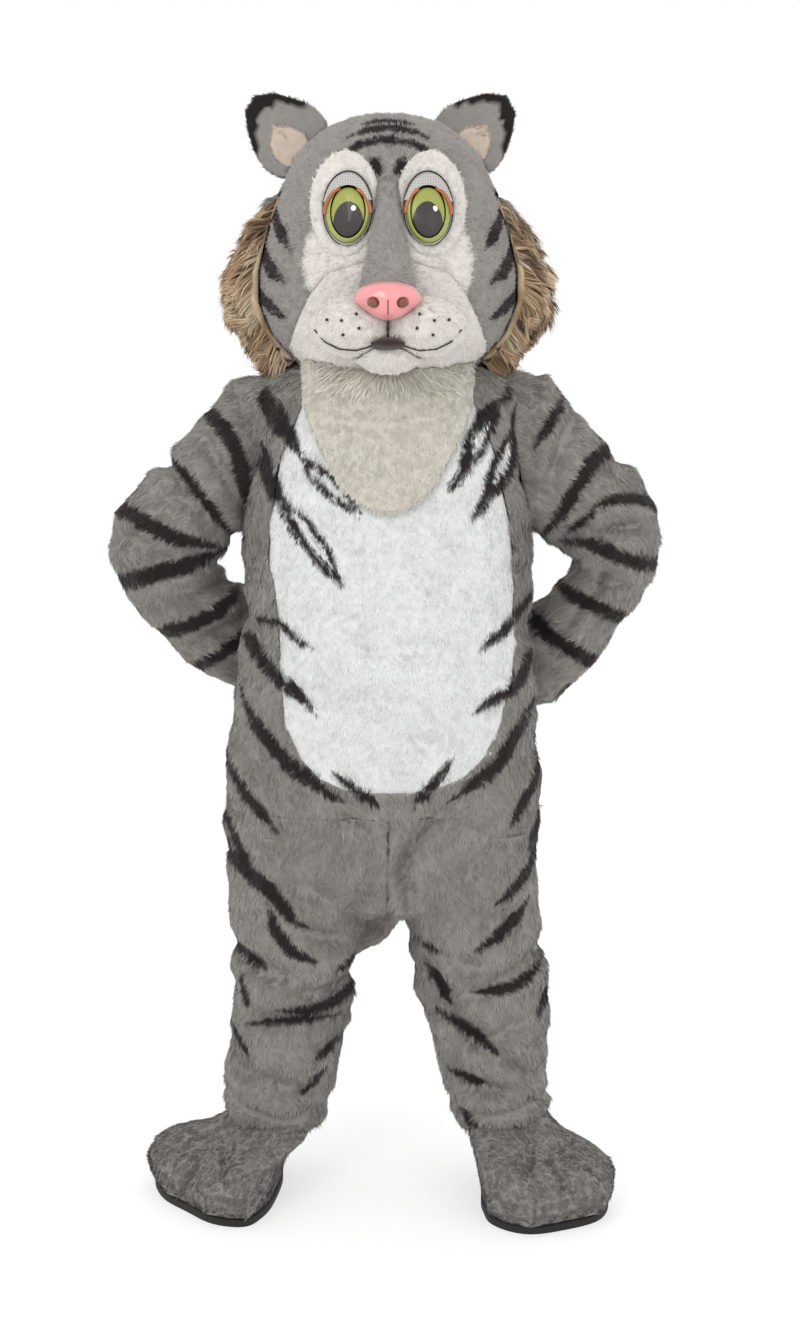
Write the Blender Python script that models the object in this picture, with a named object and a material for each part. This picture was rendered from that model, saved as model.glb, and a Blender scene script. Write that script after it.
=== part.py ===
# Tiger mascot costume, filled out as worn: standing, elbows bent, hands on the hips.
# Every cut-and-sewn piece is one closed solid: walls of plush, hollow and open where the wearer goes in.
# Metres, +Z up, the front faces -Y and "left" is the side at -X.
# Heights in the tables are above the floor. The origin is between the wearer's shoulders, where the suit hangs.

import math
from bisect import bisect_right
from collections import namedtuple
from itertools import product

import bmesh
import bpy
from mathutils import Vector

# Driving dimensions
SHOULDER_HEIGHT = 1.400  # the origin above the floor
SEAM = 0.0003  # gap between neighbouring pieces
PLUSH = 0.011  # suit wall: backing and long pile
FOAM = 0.016  # head wall: foam and short pile
SOLE = 0.012
WAIST_SEAM = 0.660
NECK = 1.424
HEM = 0.104
THROUGH = 0.030  # how far a cutter runs past a wall
WELD = 0.000004  # corners nearer than this are one

# Sides of each kind of ring
BODY_SIDES = 24
LEG_SIDES = 14
SLEEVE_SIDES = 14
HEAD_SIDES = 24
FOOT_SIDES = 24

# Torso and hips, from the crotch to the neck
Level = namedtuple("Level", "height middle half_width front back")
BODY = [
    Level(0.468, 0.000, 0.060, 0.060, 0.060),
    Level(0.485, 0.000, 0.150, 0.105, 0.105),
    Level(0.520, -0.002, 0.224, 0.138, 0.138),
    Level(0.580, -0.010, 0.268, 0.158, 0.160),
    Level(0.660, -0.010, 0.276, 0.172, 0.170),
    Level(0.760, -0.008, 0.272, 0.190, 0.172),
    Level(0.860, -0.005, 0.262, 0.204, 0.162),
    Level(0.960, 0.000, 0.251, 0.210, 0.150),
    Level(1.080, 0.000, 0.250, 0.202, 0.146),
    Level(1.200, 0.000, 0.254, 0.184, 0.151),
    Level(1.300, 0.000, 0.258, 0.162, 0.150),
    Level(1.350, 0.000, 0.252, 0.147, 0.141),
    Level(1.388, 0.000, 0.232, 0.130, 0.127),
    Level(1.410, 0.000, 0.190, 0.112, 0.112),
    Level(1.424, 0.000, 0.124, 0.096, 0.098),
]
BODY_POWER = 2.3

# Folds: a depth outwards (or inwards if negative), fading along the piece and around it.
# Angles are in degrees round from the front, positive towards +X; slope tilts the fold as it goes round.
Fold = namedtuple("Fold", "place angle slope width spread depth")
BODY_FOLDS = [
    Fold(0.600, 28, 0.10, 0.022, 30, -0.008),
    Fold(0.600, -28, -0.10, 0.022, 30, -0.008),
    Fold(0.690, 0, 0.00, 0.030, 60, 0.006),
    Fold(0.760, 75, 0.06, 0.020, 35, -0.006),
    Fold(0.760, -75, -0.06, 0.020, 35, -0.006),
    Fold(0.980, 95, 0.05, 0.022, 40, -0.006),
    Fold(0.980, -95, -0.05, 0.022, 40, -0.006),
    Fold(0.900, 170, 0.03, 0.022, 60, -0.007),
    Fold(1.010, 180, 0.00, 0.026, 55, -0.007),
    Fold(1.120, 185, -0.02, 0.022, 50, -0.005),
]

# Legs: height, then the middle's distance out from the centre line and the half sizes
Limb = namedtuple("Limb", "height out half_width front back")
LEG_LEFT = [
    Limb(0.080, 0.199, 0.090, 0.110, 0.090),
    Limb(0.115, 0.197, 0.090, 0.110, 0.089),
    Limb(0.160, 0.190, 0.097, 0.110, 0.095),
    Limb(0.205, 0.182, 0.102, 0.108, 0.100),
    Limb(0.260, 0.174, 0.103, 0.108, 0.106),
    Limb(0.313, 0.166, 0.107, 0.113, 0.112),
    Limb(0.384, 0.160, 0.109, 0.117, 0.118),
    Limb(0.440, 0.157, 0.120, 0.126, 0.126),
    Limb(0.520, 0.153, 0.130, 0.135, 0.134),
    Limb(0.620, 0.147, 0.130, 0.140, 0.138),
]
LEG_RIGHT = [
    Limb(0.080, 0.197, 0.084, 0.108, 0.090),
    Limb(0.115, 0.195, 0.085, 0.108, 0.088),
    Limb(0.160, 0.188, 0.091, 0.106, 0.094),
    Limb(0.241, 0.178, 0.105, 0.108, 0.104),
    Limb(0.300, 0.173, 0.112, 0.113, 0.110),
    Limb(0.348, 0.163, 0.121, 0.117, 0.116),
    Limb(0.410, 0.153, 0.119, 0.122, 0.122),
    Limb(0.464, 0.145, 0.121, 0.130, 0.130),
    Limb(0.540, 0.138, 0.125, 0.136, 0.135),
    Limb(0.620, 0.133, 0.127, 0.140, 0.138),
]
LEG_POWER = 2.15
# Angles run from the front towards the outer side of the leg.
LEG_FOLDS = [
    Fold(0.140, 20, 0.00, 0.014, 120, 0.007),
    Fold(0.178, -10, 0.02, 0.012, 80, -0.008),
    Fold(0.215, 30, -0.02, 0.014, 90, 0.006),
    Fold(0.250, -30, 0.03, 0.012, 80, -0.008),
    Fold(0.292, 60, 0.02, 0.014, 70, 0.006),
    Fold(0.330, -20, -0.03, 0.013, 70, -0.009),
    Fold(0.365, 40, 0.03, 0.014, 60, 0.006),
    Fold(0.400, -45, 0.02, 0.014, 60, -0.008),
    Fold(0.330, 180, 0.00, 0.016, 60, -0.009),
    Fold(0.385, 180, 0.02, 0.016, 60, -0.008),
    Fold(0.235, 170, 0.00, 0.014, 70, -0.007),
]

# Sleeves: each section lies between a point on the outer side of the bend and one on its inner side.
Cut = namedtuple("Cut", "along outer outer_height inner inner_height back depth")
SLEEVE_LEFT = [
    Cut(0.00, 0.150, 1.368, 0.118, 1.262, 0.000, 0.066),
    Cut(0.10, 0.250, 1.398, 0.210, 1.170, 0.000, 0.098),
    Cut(0.20, 0.322, 1.330, 0.262, 1.116, 0.004, 0.100),
    Cut(0.30, 0.384, 1.254, 0.284, 1.090, 0.010, 0.100),
    Cut(0.40, 0.455, 1.192, 0.294, 1.076, 0.020, 0.100),
    Cut(0.48, 0.492, 1.110, 0.293, 1.066, 0.034, 0.098),
    Cut(0.56, 0.456, 1.016, 0.286, 1.058, 0.054, 0.094),
    Cut(0.65, 0.400, 0.940, 0.274, 1.048, 0.084, 0.090),
    Cut(0.74, 0.340, 0.878, 0.256, 1.038, 0.118, 0.085),
    Cut(0.83, 0.282, 0.842, 0.232, 1.026, 0.148, 0.080),
    Cut(0.92, 0.226, 0.846, 0.202, 1.010, 0.172, 0.072),
    Cut(1.00, 0.182, 0.868, 0.168, 0.998, 0.188, 0.060),
]
SLEEVE_RIGHT = [
    Cut(0.00, 0.150, 1.368, 0.118, 1.262, 0.000, 0.066),
    Cut(0.10, 0.252, 1.402, 0.214, 1.148, 0.000, 0.098),
    Cut(0.20, 0.326, 1.338, 0.276, 1.108, 0.004, 0.100),
    Cut(0.30, 0.392, 1.266, 0.306, 1.092, 0.010, 0.100),
    Cut(0.40, 0.448, 1.210, 0.320, 1.082, 0.020, 0.100),
    Cut(0.48, 0.476, 1.136, 0.318, 1.074, 0.034, 0.098),
    Cut(0.56, 0.460, 1.050, 0.309, 1.062, 0.054, 0.094),
    Cut(0.65, 0.414, 0.962, 0.294, 1.042, 0.084, 0.090),
    Cut(0.74, 0.356, 0.878, 0.272, 1.018, 0.118, 0.086),
    Cut(0.83, 0.296, 0.812, 0.246, 0.996, 0.148, 0.082),
    Cut(0.92, 0.238, 0.812, 0.212, 0.978, 0.172, 0.074),
    Cut(1.00, 0.188, 0.838, 0.176, 0.966, 0.188, 0.060),
]
# Angle 0 is the outer side of the bend, 90 the front, 180 the crook.
SLEEVE_FOLDS = [
    Fold(0.205, 60, 0.02, 0.022, 90, -0.006),
    Fold(0.280, 120, 0.02, 0.020, 90, 0.007),
    Fold(0.345, 100, 0.03, 0.018, 100, -0.008),
    Fold(0.410, 110, 0.02, 0.020, 100, 0.008),
    Fold(0.470, 100, 0.00, 0.018, 100, -0.008),
    Fold(0.530, 80, -0.02, 0.020, 100, 0.007),
    Fold(0.600, 90, -0.03, 0.020, 100, -0.007),
    Fold(0.690, 40, -0.02, 0.022, 110, 0.006),
    Fold(0.790, 0, 0.00, 0.022, 120, -0.005),
]

# Hand paws: plain mitts from inside the cuff to the small of the back
Mitt = namedtuple("Mitt", "along out back drop radius flat")
MITT = [
    Mitt(0.00, 0.220, 0.168, 0.000, 0.042, 0.042),
    Mitt(0.20, 0.190, 0.182, 0.000, 0.052, 0.051),
    Mitt(0.36, 0.160, 0.194, 0.000, 0.054, 0.051),
    Mitt(0.55, 0.122, 0.203, 0.000, 0.062, 0.052),
    Mitt(0.76, 0.080, 0.209, 0.002, 0.067, 0.052),
    Mitt(0.92, 0.044, 0.207, 0.004, 0.056, 0.044),
    Mitt(1.00, 0.026, 0.205, 0.005, 0.030, 0.026),
]
MITT_WALL = 0.008

# Foot covers: each section's middle, ahead of the ankle and outwards, its reach to the toes and the heel,
# and how deep the creases between the toes are
Tread = namedtuple("Tread", "height ahead outwards toe heel half_width crease")
FOOT = [
    Tread(0.012, 0.094, 0.016, 0.154, 0.158, 0.104, 0.010),
    Tread(0.031, 0.098, 0.018, 0.164, 0.168, 0.112, 0.014),
    Tread(0.053, 0.096, 0.018, 0.162, 0.166, 0.115, 0.015),
    Tread(0.073, 0.080, 0.016, 0.150, 0.152, 0.113, 0.013),
    Tread(0.087, 0.054, 0.012, 0.130, 0.124, 0.104, 0.007),
    Tread(0.097, 0.020, 0.004, 0.098, 0.090, 0.086, 0.002),
    Tread(0.126, 0.000, 0.000, 0.066, 0.064, 0.062, 0.000),
    Tread(0.205, 0.000, 0.000, 0.056, 0.056, 0.054, 0.000),
]
FOOT_FAN = 0.39  # how much wider the toes are than the middle, and how much narrower the heel is
FOOT_POWER = 2.8
TOES = 4
TOE_FAN = 66  # degrees each way that the toes take up
ANKLE_OUT = 0.203
ANKLE_BACK = -0.014
# How each cover stands: degrees turned out, how far its toe line slants back towards the little toe,
# how much longer and wider its tread is pressed, and how far the tread sits outwards of the ankle
Stance = namedtuple("Stance", "turn_out slant longer wider outwards")
STANCES = {-1: Stance(23, 0.56, 1.02, 1.12, 0.040), 1: Stance(14, 0.24, 1.25, 0.92, 0.007)}
ANKLE_STANCE = Stance(0, 0.0, 1.0, 1.0, 0.0)
INSTEP = 0.100
INSTEP_EASE = 0.020  # how far below the instep the tread reaches its full set outwards
SLANT_FROM = 0.150  # how far ahead of the ankle the toe line has its full slant

# Tail: from the seat, behind the legs, curling up
Bone = namedtuple("Bone", "along x y height radius")
TAIL = [
    Bone(0.00, 0.000, 0.128, 0.790, 0.046),
    Bone(0.14, 0.006, 0.214, 0.730, 0.053),
    Bone(0.30, 0.016, 0.270, 0.610, 0.056),
    Bone(0.48, 0.010, 0.294, 0.480, 0.056),
    Bone(0.66, -0.048, 0.300, 0.378, 0.054),
    Bone(0.82, -0.138, 0.290, 0.372, 0.051),
    Bone(0.94, -0.180, 0.282, 0.450, 0.046),
    Bone(1.00, -0.182, 0.280, 0.492, 0.024),
]

# Head shell, from the neck rim to the crown; lean drops the front of a ring and lifts its back
Skull = namedtuple("Skull", "height half_width front back lean")
HEAD = [
    Skull(1.418, 0.154, 0.166, 0.150, 0.110),
    Skull(1.450, 0.190, 0.184, 0.168, 0.080),
    Skull(1.490, 0.215, 0.194, 0.184, 0.040),
    Skull(1.540, 0.226, 0.197, 0.195, 0.010),
    Skull(1.590, 0.217, 0.195, 0.198, 0.000),
    Skull(1.650, 0.201, 0.190, 0.194, 0.000),
    Skull(1.710, 0.180, 0.180, 0.178, 0.000),
    Skull(1.764, 0.154, 0.158, 0.152, 0.000),
    Skull(1.803, 0.112, 0.116, 0.110, 0.000),
    Skull(1.824, 0.064, 0.066, 0.062, 0.000),
    Skull(1.830, 0.020, 0.020, 0.020, 0.000),
]
HEAD_POWER = 2.2

# White lower face, half of its outline from the top middle round to the rim
Corner = namedtuple("Corner", "x height")
LOWER_FACE = [
    Corner(0.000, 1.572),
    Corner(0.050, 1.566),
    Corner(0.100, 1.552),
    Corner(0.128, 1.520),
    Corner(0.150, 1.478),
    Corner(0.166, 1.440),
    Corner(0.172, 1.380),
]
EYE_PATCH = {"x": 0.071, "height": 1.664, "half_width": 0.058, "half_height": 0.088}
PATCH_SIDES = 16

# Eyes: an oval dome split into zones; sizes are half widths and half heights
EYE = {"x": 0.065, "height": 1.654, "half_width": 0.041, "half_height": 0.061, "bulge": 0.018}
IRIS = {"x": 0.062, "height": 1.632, "half_width": 0.038}
PUPIL_SHARE = 0.76
EYE_WALL = 0.006
PUPIL_HOLE = 0.02  # share of the dome where its rings start
EYE_SIDES = 14
ARCH_SIDES = 20
LID = {"low": 1.665, "middle": 1.640, "half_width": 0.0375, "half_height": 0.050}  # its edge is an arch
LID_THICKNESS = 0.005

# Stuffed face pieces: middles and half sizes
Puff = namedtuple("Puff", "x y height half_width half_depth half_height")
MUZZLE = Puff(0.058, -0.214, 1.464, 0.070, 0.068, 0.052)
CHIN = Puff(0.000, -0.196, 1.420, 0.060, 0.060, 0.034)
MOUTH = Puff(0.000, -0.226, 1.436, 0.036, 0.054, 0.012)
NOSE = {"height": 1.502, "y": -0.276, "half_width": 0.054, "half_height": 0.031, "bulge": 0.026}
NOSTRIL = {"x": 0.024, "height": 1.496, "half_width": 0.011, "half_height": 0.009, "depth": 0.010}

# Nose bridge: from between the eyes down to the nose
Ridge = namedtuple("Ridge", "along y height half_width thick")
BRIDGE = [
    Ridge(0.00, -0.176, 1.700, 0.016, 0.016),
    Ridge(0.30, -0.190, 1.652, 0.022, 0.026),
    Ridge(0.65, -0.212, 1.586, 0.035, 0.034),
    Ridge(1.00, -0.238, 1.528, 0.046, 0.036),
]

# Ears: rounded cups. The reach is from the middle to the rim, longest towards the tip.
EAR = {"y": 0.006, "height": 1.789, "reach": 0.066, "tip": 0.45, "tip_angle": 45, "tip_power": 6}
EAR_MIDDLE = {-1: 0.162, 1: 0.136}
EAR_RIM = 0.014
EAR_BELLY = 0.016
EAR_CUP = 0.020
EAR_SIDES = 18
EAR_LINING = {"share": 0.54, "drop": 0.014, "thickness": 0.006, "sunk": 0.003}

# Ruff round the back of the head
MANE_FROM = 75  # degrees from the front
MANE_TIERS = 4
MANE_LOCKS = 5
Ruff = namedtuple("Ruff", "height thick")
MANE = [
    Ruff(1.425, 0.052),
    Ruff(1.455, 0.064),
    Ruff(1.500, 0.068),
    Ruff(1.560, 0.062),
    Ruff(1.620, 0.046),
    Ruff(1.670, 0.020),
    Ruff(1.704, 0.003),
]
MANE_SUNK = 0.006  # into the head, before the head's form is cut away
MANE_DROP = 0.026  # how far the ruff's outer edge hangs below its inner one

# Belly panel, edges at each height
Edge = namedtuple("Edge", "height left right")
BELLY = [
    Edge(0.706, -0.034, 0.036),
    Edge(0.712, -0.076, 0.082),
    Edge(0.730, -0.116, 0.128),
    Edge(0.762, -0.146, 0.162),
    Edge(0.820, -0.172, 0.192),
    Edge(0.900, -0.180, 0.210),
    Edge(0.985, -0.182, 0.213),
    Edge(1.070, -0.196, 0.210),
    Edge(1.150, -0.198, 0.203),
    Edge(1.250, -0.180, 0.183),
    Edge(1.350, -0.142, 0.144),
    Edge(1.450, -0.082, 0.082),
]
BIB = [
    Edge(1.170, -0.014, 0.018),
    Edge(1.182, -0.044, 0.044),
    Edge(1.206, -0.074, 0.072),
    Edge(1.250, -0.102, 0.098),
    Edge(1.300, -0.124, 0.124),
    Edge(1.350, -0.142, 0.142),
    Edge(1.460, -0.146, 0.146),
]
BIB_THICK = 0.012
NAPE_EDGE = 1.330
NAPE_HALF = 0.150

ZIP_HALF = 0.004
ZIP_LOW = 0.860
ZIP_SUNK = 0.005

COLOURS = {
    "grey": (0.205, 0.205, 0.200),
    "white": (0.84, 0.83, 0.80),
    "cream": (0.66, 0.63, 0.56),
    "black": (0.020, 0.019, 0.018),
    "tan": (0.42, 0.31, 0.20),
    "pink": (0.80, 0.36, 0.36),
    "brown": (0.16, 0.06, 0.02),
    "green": (0.26, 0.33, 0.06),
}


# Tables and curves


def at(table, place):
    # The table's row at a place in its first column, on a smooth curve through the rows.
    keys = [row[0] for row in table]
    low = min(max(bisect_right(keys, place) - 1, 0), len(table) - 2)
    span = keys[low + 1] - keys[low]
    share = min(max((place - keys[low]) / span, 0.0), 1.0)

    def slope(index, column):
        before = max(index - 1, 0)
        after = min(index + 1, len(table) - 1)
        return (table[after][column] - table[before][column]) / (keys[after] - keys[before])

    values = []
    for column in range(len(table[0])):
        start = table[low][column]
        end = table[low + 1][column]
        lift = slope(low, column) * span * share * (1 - share) ** 2
        fall = slope(low + 1, column) * span * share ** 2 * (1 - share)
        mix = share * share * (3 - 2 * share)
        values.append(start + (end - start) * mix + lift - fall)
    return type(table[0])(*values)


def steps(start, end, count):
    return [start + (end - start) * step / (count - 1) for step in range(count)]


def swell(folds, place, angle):
    # How far the folds push a point of the wall outwards.
    total = 0.0
    for fold in folds:
        turn = (angle - math.radians(fold.angle) + math.pi) % (2 * math.pi) - math.pi
        off = (place - fold.place - fold.slope * turn) / fold.width
        fade = turn / math.radians(fold.spread)
        total += fold.depth * math.exp(-off * off - fade * fade)
    return total


def oval_reach(angle, half_width, front, back, power):
    # Distance from the middle to a rounded section's edge; angle 0 is the front.
    ahead = math.cos(angle)
    depth = front if ahead > 0 else back
    return ((abs(math.sin(angle)) / half_width) ** power + (abs(ahead) / depth) ** power) ** (-1 / power)


def turns(sides):
    return [2 * math.pi * step / sides for step in range(sides)]


# Rings and bodies


def moved_out(rings, distance):
    # The same rings moved along the surface's own normals; a negative distance goes inwards.
    last = len(rings) - 1
    normals = []
    outwards = 0.0
    for index, ring in enumerate(rings):
        centre = sum(ring, Vector()) / len(ring)
        before = rings[max(index - 1, 0)]
        after = rings[min(index + 1, last)]
        row = []
        for spot, point in enumerate(ring):
            around = ring[(spot + 1) % len(ring)] - ring[spot - 1]
            normal = around.cross(after[spot] - before[spot]).normalized()
            outwards += normal.dot(point - centre)
            row.append(normal)
        normals.append(row)
    way = math.copysign(distance, distance * outwards)
    return [
        [point + normal * way for point, normal in zip(ring, row)]
        for ring, row in zip(rings, normals)
    ]


def run_on(rings, start, end):
    # The rings with one more past each end, further along the same way.
    def past(ring, neighbour, length):
        way = sum(ring, Vector()) / len(ring) - sum(neighbour, Vector()) / len(neighbour)
        return [point + way.normalized() * length for point in ring]

    longer = list(rings)
    if start:
        longer.insert(0, past(rings[0], rings[1], start))
    if end:
        longer.append(past(rings[-1], rings[-2], end))
    return longer


def new_piece(name, points, faces):
    mesh = bpy.data.meshes.new(name)
    mesh.from_pydata(points, [], faces)
    edit = bmesh.new()
    edit.from_mesh(mesh)
    bmesh.ops.recalc_face_normals(edit, faces=edit.faces)
    edit.to_mesh(mesh)
    edit.free()
    piece = bpy.data.objects.new(name, mesh)
    bpy.context.scene.collection.objects.link(piece)
    return piece


def between(first, second, size):
    # Two triangles for each side between two rings.
    faces = []
    for spot in range(size):
        after = (spot + 1) % size
        corners = (first + spot, first + after, second + after, second + spot)
        faces.append((corners[0], corners[1], corners[2]))
        faces.append((corners[0], corners[2], corners[3]))
    return faces


def solid(name, rings):
    # A closed body through the rings, with a flat cap at each end.
    size = len(rings[0])
    points = [point for ring in rings for point in ring]
    faces = []
    for index in range(len(rings) - 1):
        faces += between(index * size, (index + 1) * size, size)
    faces.append(tuple(range(size)))
    faces.append(tuple(range((len(rings) - 1) * size, len(points))))
    return new_piece(name, points, faces)


def wall(name, outer, inner):
    # A tube's wall between outer and inner rings, open at both ends.
    rings = outer + inner[::-1]
    size = len(rings[0])
    points = [point for ring in rings for point in ring]
    faces = []
    for index in range(len(rings)):
        faces += between(index * size, (index + 1) % len(rings) * size, size)
    return new_piece(name, points, faces)


def combine(piece, other, operation, keep=False):
    # A Boolean that is applied at once; the other piece goes unless it is kept.
    modifier = piece.modifiers.new(operation, "BOOLEAN")
    modifier.operation = operation
    modifier.solver = "EXACT"
    modifier.object = other
    seen = piece.evaluated_get(bpy.context.evaluated_depsgraph_get())
    result = bpy.data.meshes.new_from_object(seen)
    piece.modifiers.clear()
    old = piece.data
    piece.data = result
    bpy.data.meshes.remove(old)
    if not keep:
        bpy.data.objects.remove(other)


def take_away(piece, *others):
    for other in others:
        combine(piece, other, "DIFFERENCE", keep=True)


def box(name, low, high):
    ring = [(low[0], low[1]), (high[0], low[1]), (high[0], high[1]), (low[0], high[1])]
    return solid(name, [[Vector((x, y, z)) for x, y in ring] for z in (low[2], high[2])])


def prism(name, outline, near, far):
    # A body of the outline's shape, seen from the front, between two depths.
    return solid(name, [[Vector((x, y, z)) for x, z in outline] for y in (near, far)])


def grown(outline, gap):
    # The outline moved outwards by a gap.
    area = sum(a[0] * b[1] - b[0] * a[1] for a, b in zip(outline, outline[1:] + outline[:1]))
    way = math.copysign(gap, area)
    result = []
    for index, corner in enumerate(outline):
        before = outline[index - 1]
        after = outline[(index + 1) % len(outline)]
        across = after[0] - before[0]
        rise = after[1] - before[1]
        length = math.hypot(across, rise)
        result.append((corner[0] + rise / length * way, corner[1] - across / length * way))
    return result


def tidied(piece, colour, roughness=0.9):
    # Drops trimmings and slivers, and gives the piece its name's material.
    edit = bmesh.new()
    edit.from_mesh(piece.data)
    bmesh.ops.remove_doubles(edit, verts=edit.verts, dist=WELD)
    bmesh.ops.dissolve_degenerate(edit, edges=edit.edges, dist=WELD)
    bmesh.ops.triangulate(edit, faces=edit.faces)
    left = set(edit.verts)
    groups = []
    while left:
        group = set()
        reach = [left.pop()]
        while reach:
            vertex = reach.pop()
            group.add(vertex)
            for edge in vertex.link_edges:
                other = edge.other_vert(vertex)
                if other in left:
                    left.discard(other)
                    reach.append(other)
        groups.append(group)
    groups.sort(key=len)
    trimmings = [vertex for group in groups[:-1] for vertex in group]
    bmesh.ops.delete(edit, geom=trimmings, context="VERTS")
    edit.to_mesh(piece.data)
    edit.free()
    piece.data.transform(piece.matrix_world)
    for vertex in piece.data.vertices:
        vertex.co.z -= SHOULDER_HEIGHT
    material = bpy.data.materials.new(piece.name)
    material.use_nodes = True
    shader = material.node_tree.nodes["Principled BSDF"]
    shader.inputs["Base Color"].default_value = (*COLOURS[colour], 1.0)
    shader.inputs["Roughness"].default_value = roughness
    piece.data.materials.clear()
    piece.data.materials.append(material)
    piece.data.shade_smooth()
    piece.data.set_sharp_from_angle(angle=math.radians(50))
    return piece


def sides():
    return (("left", -1), ("right", 1))


# The suit's body


def body_rings(low, high, count, folds=BODY_FOLDS, inset=0.0):
    rings = []
    for height in steps(low, high, count):
        level = at(BODY, height)
        ring = []
        for angle in turns(BODY_SIDES):
            reach = oval_reach(angle, level.half_width, level.front, level.back, BODY_POWER)
            reach += swell(folds, height, angle)
            x = level.middle + reach * math.sin(angle)
            ring.append(Vector((x, -reach * math.cos(angle), height)))
        rings.append(ring)
    return moved_out(rings, -inset) if inset else rings


def levelled(rings, like):
    # Inner rings whose two ends lie level with the outer ones.
    for end in (0, -1):
        for point in rings[end]:
            point.z = like[end][0].z
    return rings


def sleeve_rings(table, side, count, folds=SLEEVE_FOLDS):
    rings = []
    for place in steps(0.0, 1.0, count):
        cut = at(table, place)
        ahead = at(table, min(place + 0.02, 1.0))
        behind = at(table, max(place - 0.02, 0.0))
        outer = Vector((side * cut.outer, cut.back, cut.outer_height))
        inner = Vector((side * cut.inner, cut.back, cut.inner_height))
        way = Vector((
            side * (ahead.outer + ahead.inner - behind.outer - behind.inner) / 2,
            ahead.back - behind.back,
            (ahead.outer_height + ahead.inner_height - behind.outer_height - behind.inner_height) / 2,
        ))
        across = (outer - inner) / 2
        front = way.cross(across).normalized()
        if front.y > 0:
            front.negate()
        ring = []
        for angle in turns(SLEEVE_SIDES):
            swollen = swell(folds, place, angle)
            out = across * math.cos(angle) * (1 + swollen / across.length)
            forward = front * math.sin(angle) * (cut.depth + swollen)
            ring.append((outer + inner) / 2 + out + forward)
        rings.append(ring)
    return rings


def sleeve_surfaces(side):
    # The sleeve's outer rings, with its folds, and its plain inner ones.
    table = SLEEVE_LEFT if side < 0 else SLEEVE_RIGHT
    return sleeve_rings(table, side, 18), moved_out(sleeve_rings(table, side, 8, ()), -PLUSH)


def leg_rings(table, side, count, folds=LEG_FOLDS):
    rings = []
    for height in steps(HEM, 0.620, count):
        limb = at(table, height)
        ring = []
        for angle in turns(LEG_SIDES):
            reach = oval_reach(angle, limb.half_width, limb.front, limb.back, LEG_POWER)
            reach += swell(folds, height, angle)
            x = side * (limb.out + reach * math.sin(angle))
            ring.append(Vector((x, -reach * math.cos(angle), height)))
        rings.append(ring)
    return rings


def foot_rings(side):
    # Rings of a foot cover: round at the ankle, and with a fan of toes lower down.
    turn = math.radians(STANCES[side].turn_out)
    toe_way = Vector((side * math.sin(turn), -math.cos(turn), 0))
    side_way = Vector((side * math.cos(turn), math.sin(turn), 0))
    ankle = Vector((side * ANKLE_OUT, ANKLE_BACK, 0))
    fan = math.radians(TOE_FAN)
    rings = []
    for row in FOOT:
        ring = []
        stance = STANCES[side] if row.height < INSTEP else ANKLE_STANCE
        outwards = row.outwards + stance.outwards * min((INSTEP - row.height) / INSTEP_EASE, 1)
        for angle in turns(FOOT_SIDES):
            toe = row.toe * stance.longer
            reach = oval_reach(angle, row.half_width * stance.wider, toe, row.heel, FOOT_POWER)
            turned = (angle + math.pi) % (2 * math.pi) - math.pi
            if abs(turned) < fan:
                lobe = abs(math.sin(math.pi * TOES * (turned + fan) / (2 * fan)))
                reach -= row.crease * (1 - lobe)
            ahead = row.ahead + reach * math.cos(angle)
            aside = outwards + reach * math.sin(angle) * (1 + FOOT_FAN * math.cos(angle))
            ahead -= stance.slant * aside * min(max(ahead / SLANT_FROM, 0), 1)
            ring.append(ankle + toe_way * ahead + side_way * aside + Vector((0, 0, row.height)))
        rings.append(ring)
    return rings


def edge_outline(table):
    right = [(row.right, row.height) for row in table]
    left = [(row.left, row.height) for row in table]
    return right + left[::-1]


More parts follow.
